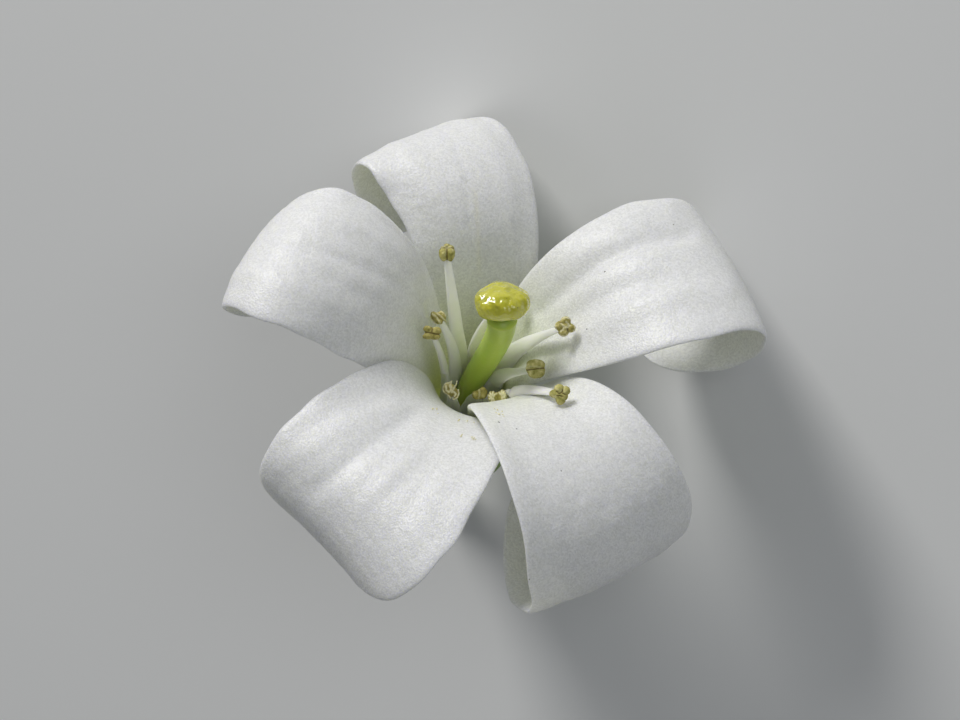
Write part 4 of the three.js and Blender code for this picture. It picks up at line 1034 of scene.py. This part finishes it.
def build_stalk(material):
    z0 = -1.3 - STALK_LENGTH
    prof = np.array([
        (0.0, z0 + 0.02), (0.2, z0 + 0.03), (0.38, z0 + 0.01), (0.455, z0 + 0.015), (0.49, z0 + 0.06), (0.5, z0 + 0.14),
        (0.49, z0 + 0.8), (0.48, z0 + 1.6), (0.485, z0 + 2.3), (0.51, z0 + 2.9), (0.56, -1.42), (0.66, -1.22), (0.8, -1.0),
        (1.0, -0.79), (1.2, -0.6), (1.4, -0.44), (1.56, -0.33), (1.61, -0.28), (1.615, -0.25), (1.58, -0.232),
        (1.3, -0.225), (1.07, -0.215), (1.05, -0.18), (1.05, 0.1), (1.045, 0.3), (1.02, 0.4), (0.94, 0.455), (0.7, 0.475),
        (0.35, 0.478), (0.0, 0.478)])
    sides = 72
    a = 2 * math.pi * np.arange(sides) / sides
    rows = []
    for r, z in prof[1:-1]:
        wave = 1 + (0.012 * np.cos(5 * a + 0.6) + 0.008 * np.sin(11 * a + z * 3)) * (1 if z < -0.3 else 0)
        if -0.18 <= z <= 0.46:
            wave = 1 + 0.0 * a
        rows.append(np.stack([r * wave * np.cos(a), r * wave * np.sin(a), np.full(sides, z)], 1))
    verts = np.concatenate(rows + [np.array([[0, 0, prof[0, 1]]]), np.array([[0, 0, prof[-1, 1]]])])
    faces = []
    m = len(rows)
    for i in range(m - 1):
        for k in range(sides):
            q = (k + 1) % sides
            faces.append((i * sides + k, i * sides + q, (i + 1) * sides + q, (i + 1) * sides + k))
    first, last = m * sides, m * sides + 1
    for k in range(sides):
        q = (k + 1) % sides
        faces.append((first, q, k))
        faces.append((last, (m - 1) * sides + k, (m - 1) * sides + q))
    z = verts[:, 2]
    r = np.hypot(verts[:, 0], verts[:, 1])
    pale = np.clip((1 - step(z0 + 0.02, z0 + 0.05, z)) * (1 - step(0.46, 0.5, r)) * 0.9 + step(-0.25, -0.15, z) * 0.8, 0, 1)
    obj = make_object("stalk_skin", verts, faces, material, {"tone": step(-1.6, -0.6, z), "pale": pale})
    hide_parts("stalk")


def build_calyx(material):
    around, rows = 240, 40
    top_at = lambda a: 0.3 + 0.95 * (0.5 + 0.5 * np.cos(5 * (a - math.radians(66)))) ** 1.6
    a = 2 * math.pi * np.arange(around) / around
    push = (0.5 + 0.5 * np.cos(a - math.radians(171))) ** 2
    top = top_at(a)
    inner, outer = [], []
    for i in range(rows):
        f = i / (rows - 1)
        if f < 0.36:
            g = f / 0.36
            r = smooth([0, 0.5, 1], [1.08, 1.4, 1.7], g) + 0.06 * push * g
            z = np.full(around, float(smooth([0, 0.5, 1], [-0.82, -0.54, -0.26], g)))
            nr, nz = 0.66 + 0.28 * g, -0.74 + 0.36 * g
        else:
            g = (f - 0.36) / 0.64
            z = -0.26 + (top + 0.26) * g
            h = np.maximum(0, z)
            r = (1.7 + 0.06 * push) * (1 - step(0, 0.25, g)) + step(0, 0.25, g) * (1.75 + 0.05 * h + push * (0.13 + 0.17 * h) + 0.1 * np.maximum(0, z - 0.6) ** 2)
            nr, nz = 0.97, -0.2 + 0.08 * g
        r = r * np.ones(around)
        thick = 0.22 * (1 - 0.75 * step(0.75, 1.0, f)) * (1 + 0.0 * a)
        keel = 0.05 * np.exp(-((np.mod(a - math.radians(66) + math.pi / 5, 2 * math.pi / 5) - math.pi / 5) / 0.12) ** 2) * step(0.2, 0.5, f) * (1 - step(0.8, 1.0, f))
        inner.append(np.stack([r * np.cos(a), r * np.sin(a), z], 1))
        rr = r + (thick + keel) * nr
        outer.append(np.stack([rr * np.cos(a), rr * np.sin(a), z + thick * nz], 1))
    I = np.array(inner)
    O = np.array(outer)
    n = around * rows
    verts = np.concatenate([I.reshape(-1, 3), O.reshape(-1, 3)])
    faces = []
    for i in range(rows - 1):
        for k in range(around):
            q = (k + 1) % around
            faces.append((i * around + k, (i + 1) * around + k, (i + 1) * around + q, i * around + q))
            faces.append((n + i * around + k, n + i * around + q, n + (i + 1) * around + q, n + (i + 1) * around + k))
    for k in range(around):
        q = (k + 1) % around
        faces.append((k, q, n + q, n + k))
        e = (rows - 1) * around
        faces.append((e + k, n + e + k, n + e + q, e + q))
    z = verts[:, 2]
    obj = make_object("calyx_skin", verts, faces, material, {"tone": step(-0.2, 0.9, z), "pale": 0 * z})
    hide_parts("calyx")


# ---------------------------------------------------------------- pollen that has fallen on the petals
def build_pollen(surfaces, spots):
    m, nt, bsdf = new_material("pollen_dust")
    k = Nodes(nt)
    xyz = k.coords()
    g = k.noise(15000.0, 2.0, 0.6, xyz)
    k.link(k.ramp(g, [(0.3, (0.72, 0.66, 0.34)), (0.7, (0.90, 0.86, 0.60))]), bsdf.inputs["Base Color"])
    bsdf.inputs["Roughness"].default_value = 0.7
    k.link(k.bump(g, 0.00002, 0.6), bsdf.inputs["Normal"])
    rng = np.random.default_rng(8)
    verts, faces = [], []
    for number, px, py, spread, count in spots:
        T, V, top, n = surfaces[number]
        i, j = seen_at(surfaces[number], px, py)
        for _ in range(count):
            ii = int(np.clip(i + rng.normal(0, spread * 8), 0, T.shape[0] - 2))
            jj = int(np.clip(j + rng.normal(0, spread * 8), 1, T.shape[1] - 2))
            centre = top[ii, jj]
            normal = n[ii, jj]
            size = rng.uniform(0.018, 0.038)
            bm = bmesh.new()
            bmesh.ops.create_icosphere(bm, subdivisions=2, radius=1.0)
            u = np.array([w.co[:] for w in bm.verts])
            f = [[w.index for w in g.verts] for g in bm.faces]
            bm.free()
            u = u * (1 + 0.18 * np.sin(4 * u[:, [1, 2, 0]] + rng.uniform(0, 6, 3)))
            start = sum(len(w) for w in verts)
            verts.append(centre + normal * size * 0.7 + u * size * rng.uniform(0.8, 1.2, 3))
            faces += [[start + w for w in g] for g in f]
    obj = make_object("pollen_grains", np.concatenate(verts), faces, m)


# ---------------------------------------------------------------- build
add_camera()
floor_and_lights()

# small dark specks: where they are seen in the 960 x 720 picture, and their size in mm
SPECKS = {4: [(501, 421, 0.045), (519, 427, 0.03), (561, 467, 0.022), (529, 580, 0.022)],
          5: [(604, 270, 0.03), (675, 222, 0.02), (584, 328, 0.025)]}


# ridges (+) and grooves (-) of petals 3 and 5: points in the picture, height in mm, spread in picture steps
SEEN_FOLDS = {3: [([(412, 417), (391, 433), (369, 447), (349, 463), (329, 479), (315, 489)], -0.085, 9.0),
                  ([(388, 409), (362, 419), (338, 433), (310, 451), (283, 466)], 0.045, 12.0),
                  ([(402, 388), (368, 397), (331, 413), (302, 433)], -0.018, 9.0),
                  ([(425, 444), (402, 466), (380, 489), (359, 513)], 0.038, 9.0),
                  ([(426, 461), (405, 481), (385, 499), (366, 515)], -0.010, 4.0),
                  ([(436, 470), (417, 497), (398, 524), (384, 545)], -0.012, 4.0),
                  ([(450, 470), (434, 500), (416, 532), (404, 560)], 0.032, 13.0),
                  ([(340, 500), (352, 522), (366, 545)], 0.02, 9.0)],
              5: [([(543, 311), (562, 293), (580, 279), (598, 266), (618, 255), (640, 246), (662, 240), (684, 236)], -0.14, 9.0),
                  ([(556, 325), (590, 307), (629, 290), (668, 281)], -0.075, 10.0),
                  ([(562, 262), (600, 238), (645, 216), (668, 211)], 0.06, 12.0),
                  ([(580, 338), (630, 312), (690, 293), (722, 292)], 0.08, 14.0)]}

# small swellings (+) and dents (-) on the blades: where they are seen in the picture, height and spread in mm
DENTS = {1: [(457, 181, 0.030, 0.11), (449, 187, -0.022, 0.12), (463, 189, 0.018, 0.09), (417, 203, 0.026, 0.12), (410, 197, -0.02, 0.13),
             (424, 228, 0.026, 0.12), (431, 221, -0.02, 0.12), (416, 217, 0.02, 0.10), (440, 205, -0.018, 0.16), (473, 170, -0.018, 0.18)],
         2: [(372, 262, -0.022, 0.2), (341, 285, 0.02, 0.16), (300, 236, 0.015, 0.14)],
         4: [(583, 505, 0.03, 0.16), (601, 512, -0.03, 0.17), (617, 524, 0.03, 0.17), (571, 520, -0.026, 0.15), (590, 538, 0.026, 0.16), (632, 505, 0.022, 0.14)],
         5: [(640, 236, -0.02, 0.2), (694, 262, 0.02, 0.16)]}


def seen_at(surface, px, py):
    """Grid place of a petal's upper face that is seen at one point of the picture."""
    T, V, top, n = surface
    c = top @ VIEW + CENTRE_SEEN
    gap = np.hypot(480 + 2860 * c[..., 0] / (110 - c[..., 2]) - px, 360 - 2860 * c[..., 1] / (110 - c[..., 2]) - py)
    near = gap < gap.min() + 2.5
    return np.unravel_index(np.where(near, c[..., 2], -1e9).argmax(), gap.shape)


surfaces = {}
for number, p in enumerate(PETALS, 1):
    verts, faces, attrs, surface = build_petal(number, p)
    surfaces[number] = surface
    T, V, top, n = surface
    specks = [(to_row(top[seen_at(surface, px, py)]), size * MM) for px, py, size in SPECKS.get(number, [])]
    material = petal_material(f"petal_{number}_skin", specks)
    obj = make_object(f"petal_{number}_blade", verts, faces, material, attrs)
    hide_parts(f"petal_{number}")

fil = filament_material()
ant = anther_material()
for number, points in enumerate(FILAMENTS, 1):
    build_filament(number, points, fil)
    build_anther(number, points, ant)
build_style(style_material())
build_stigma(stigma_material())
build_stalk(green_material("stalk_skin", (0.20, 0.30, 0.08), (0.30, 0.42, 0.13), 1100.0))
build_calyx(green_material("calyx_skin", (0.24, 0.36, 0.10), (0.38, 0.52, 0.18), 1300.0))
build_pollen(surfaces, [(4, 503, 412, 0.15, 7), (3, 470, 436, 0.2, 6), (3, 435, 408, 0.15, 5), (3, 463, 419, 0.3, 5)])
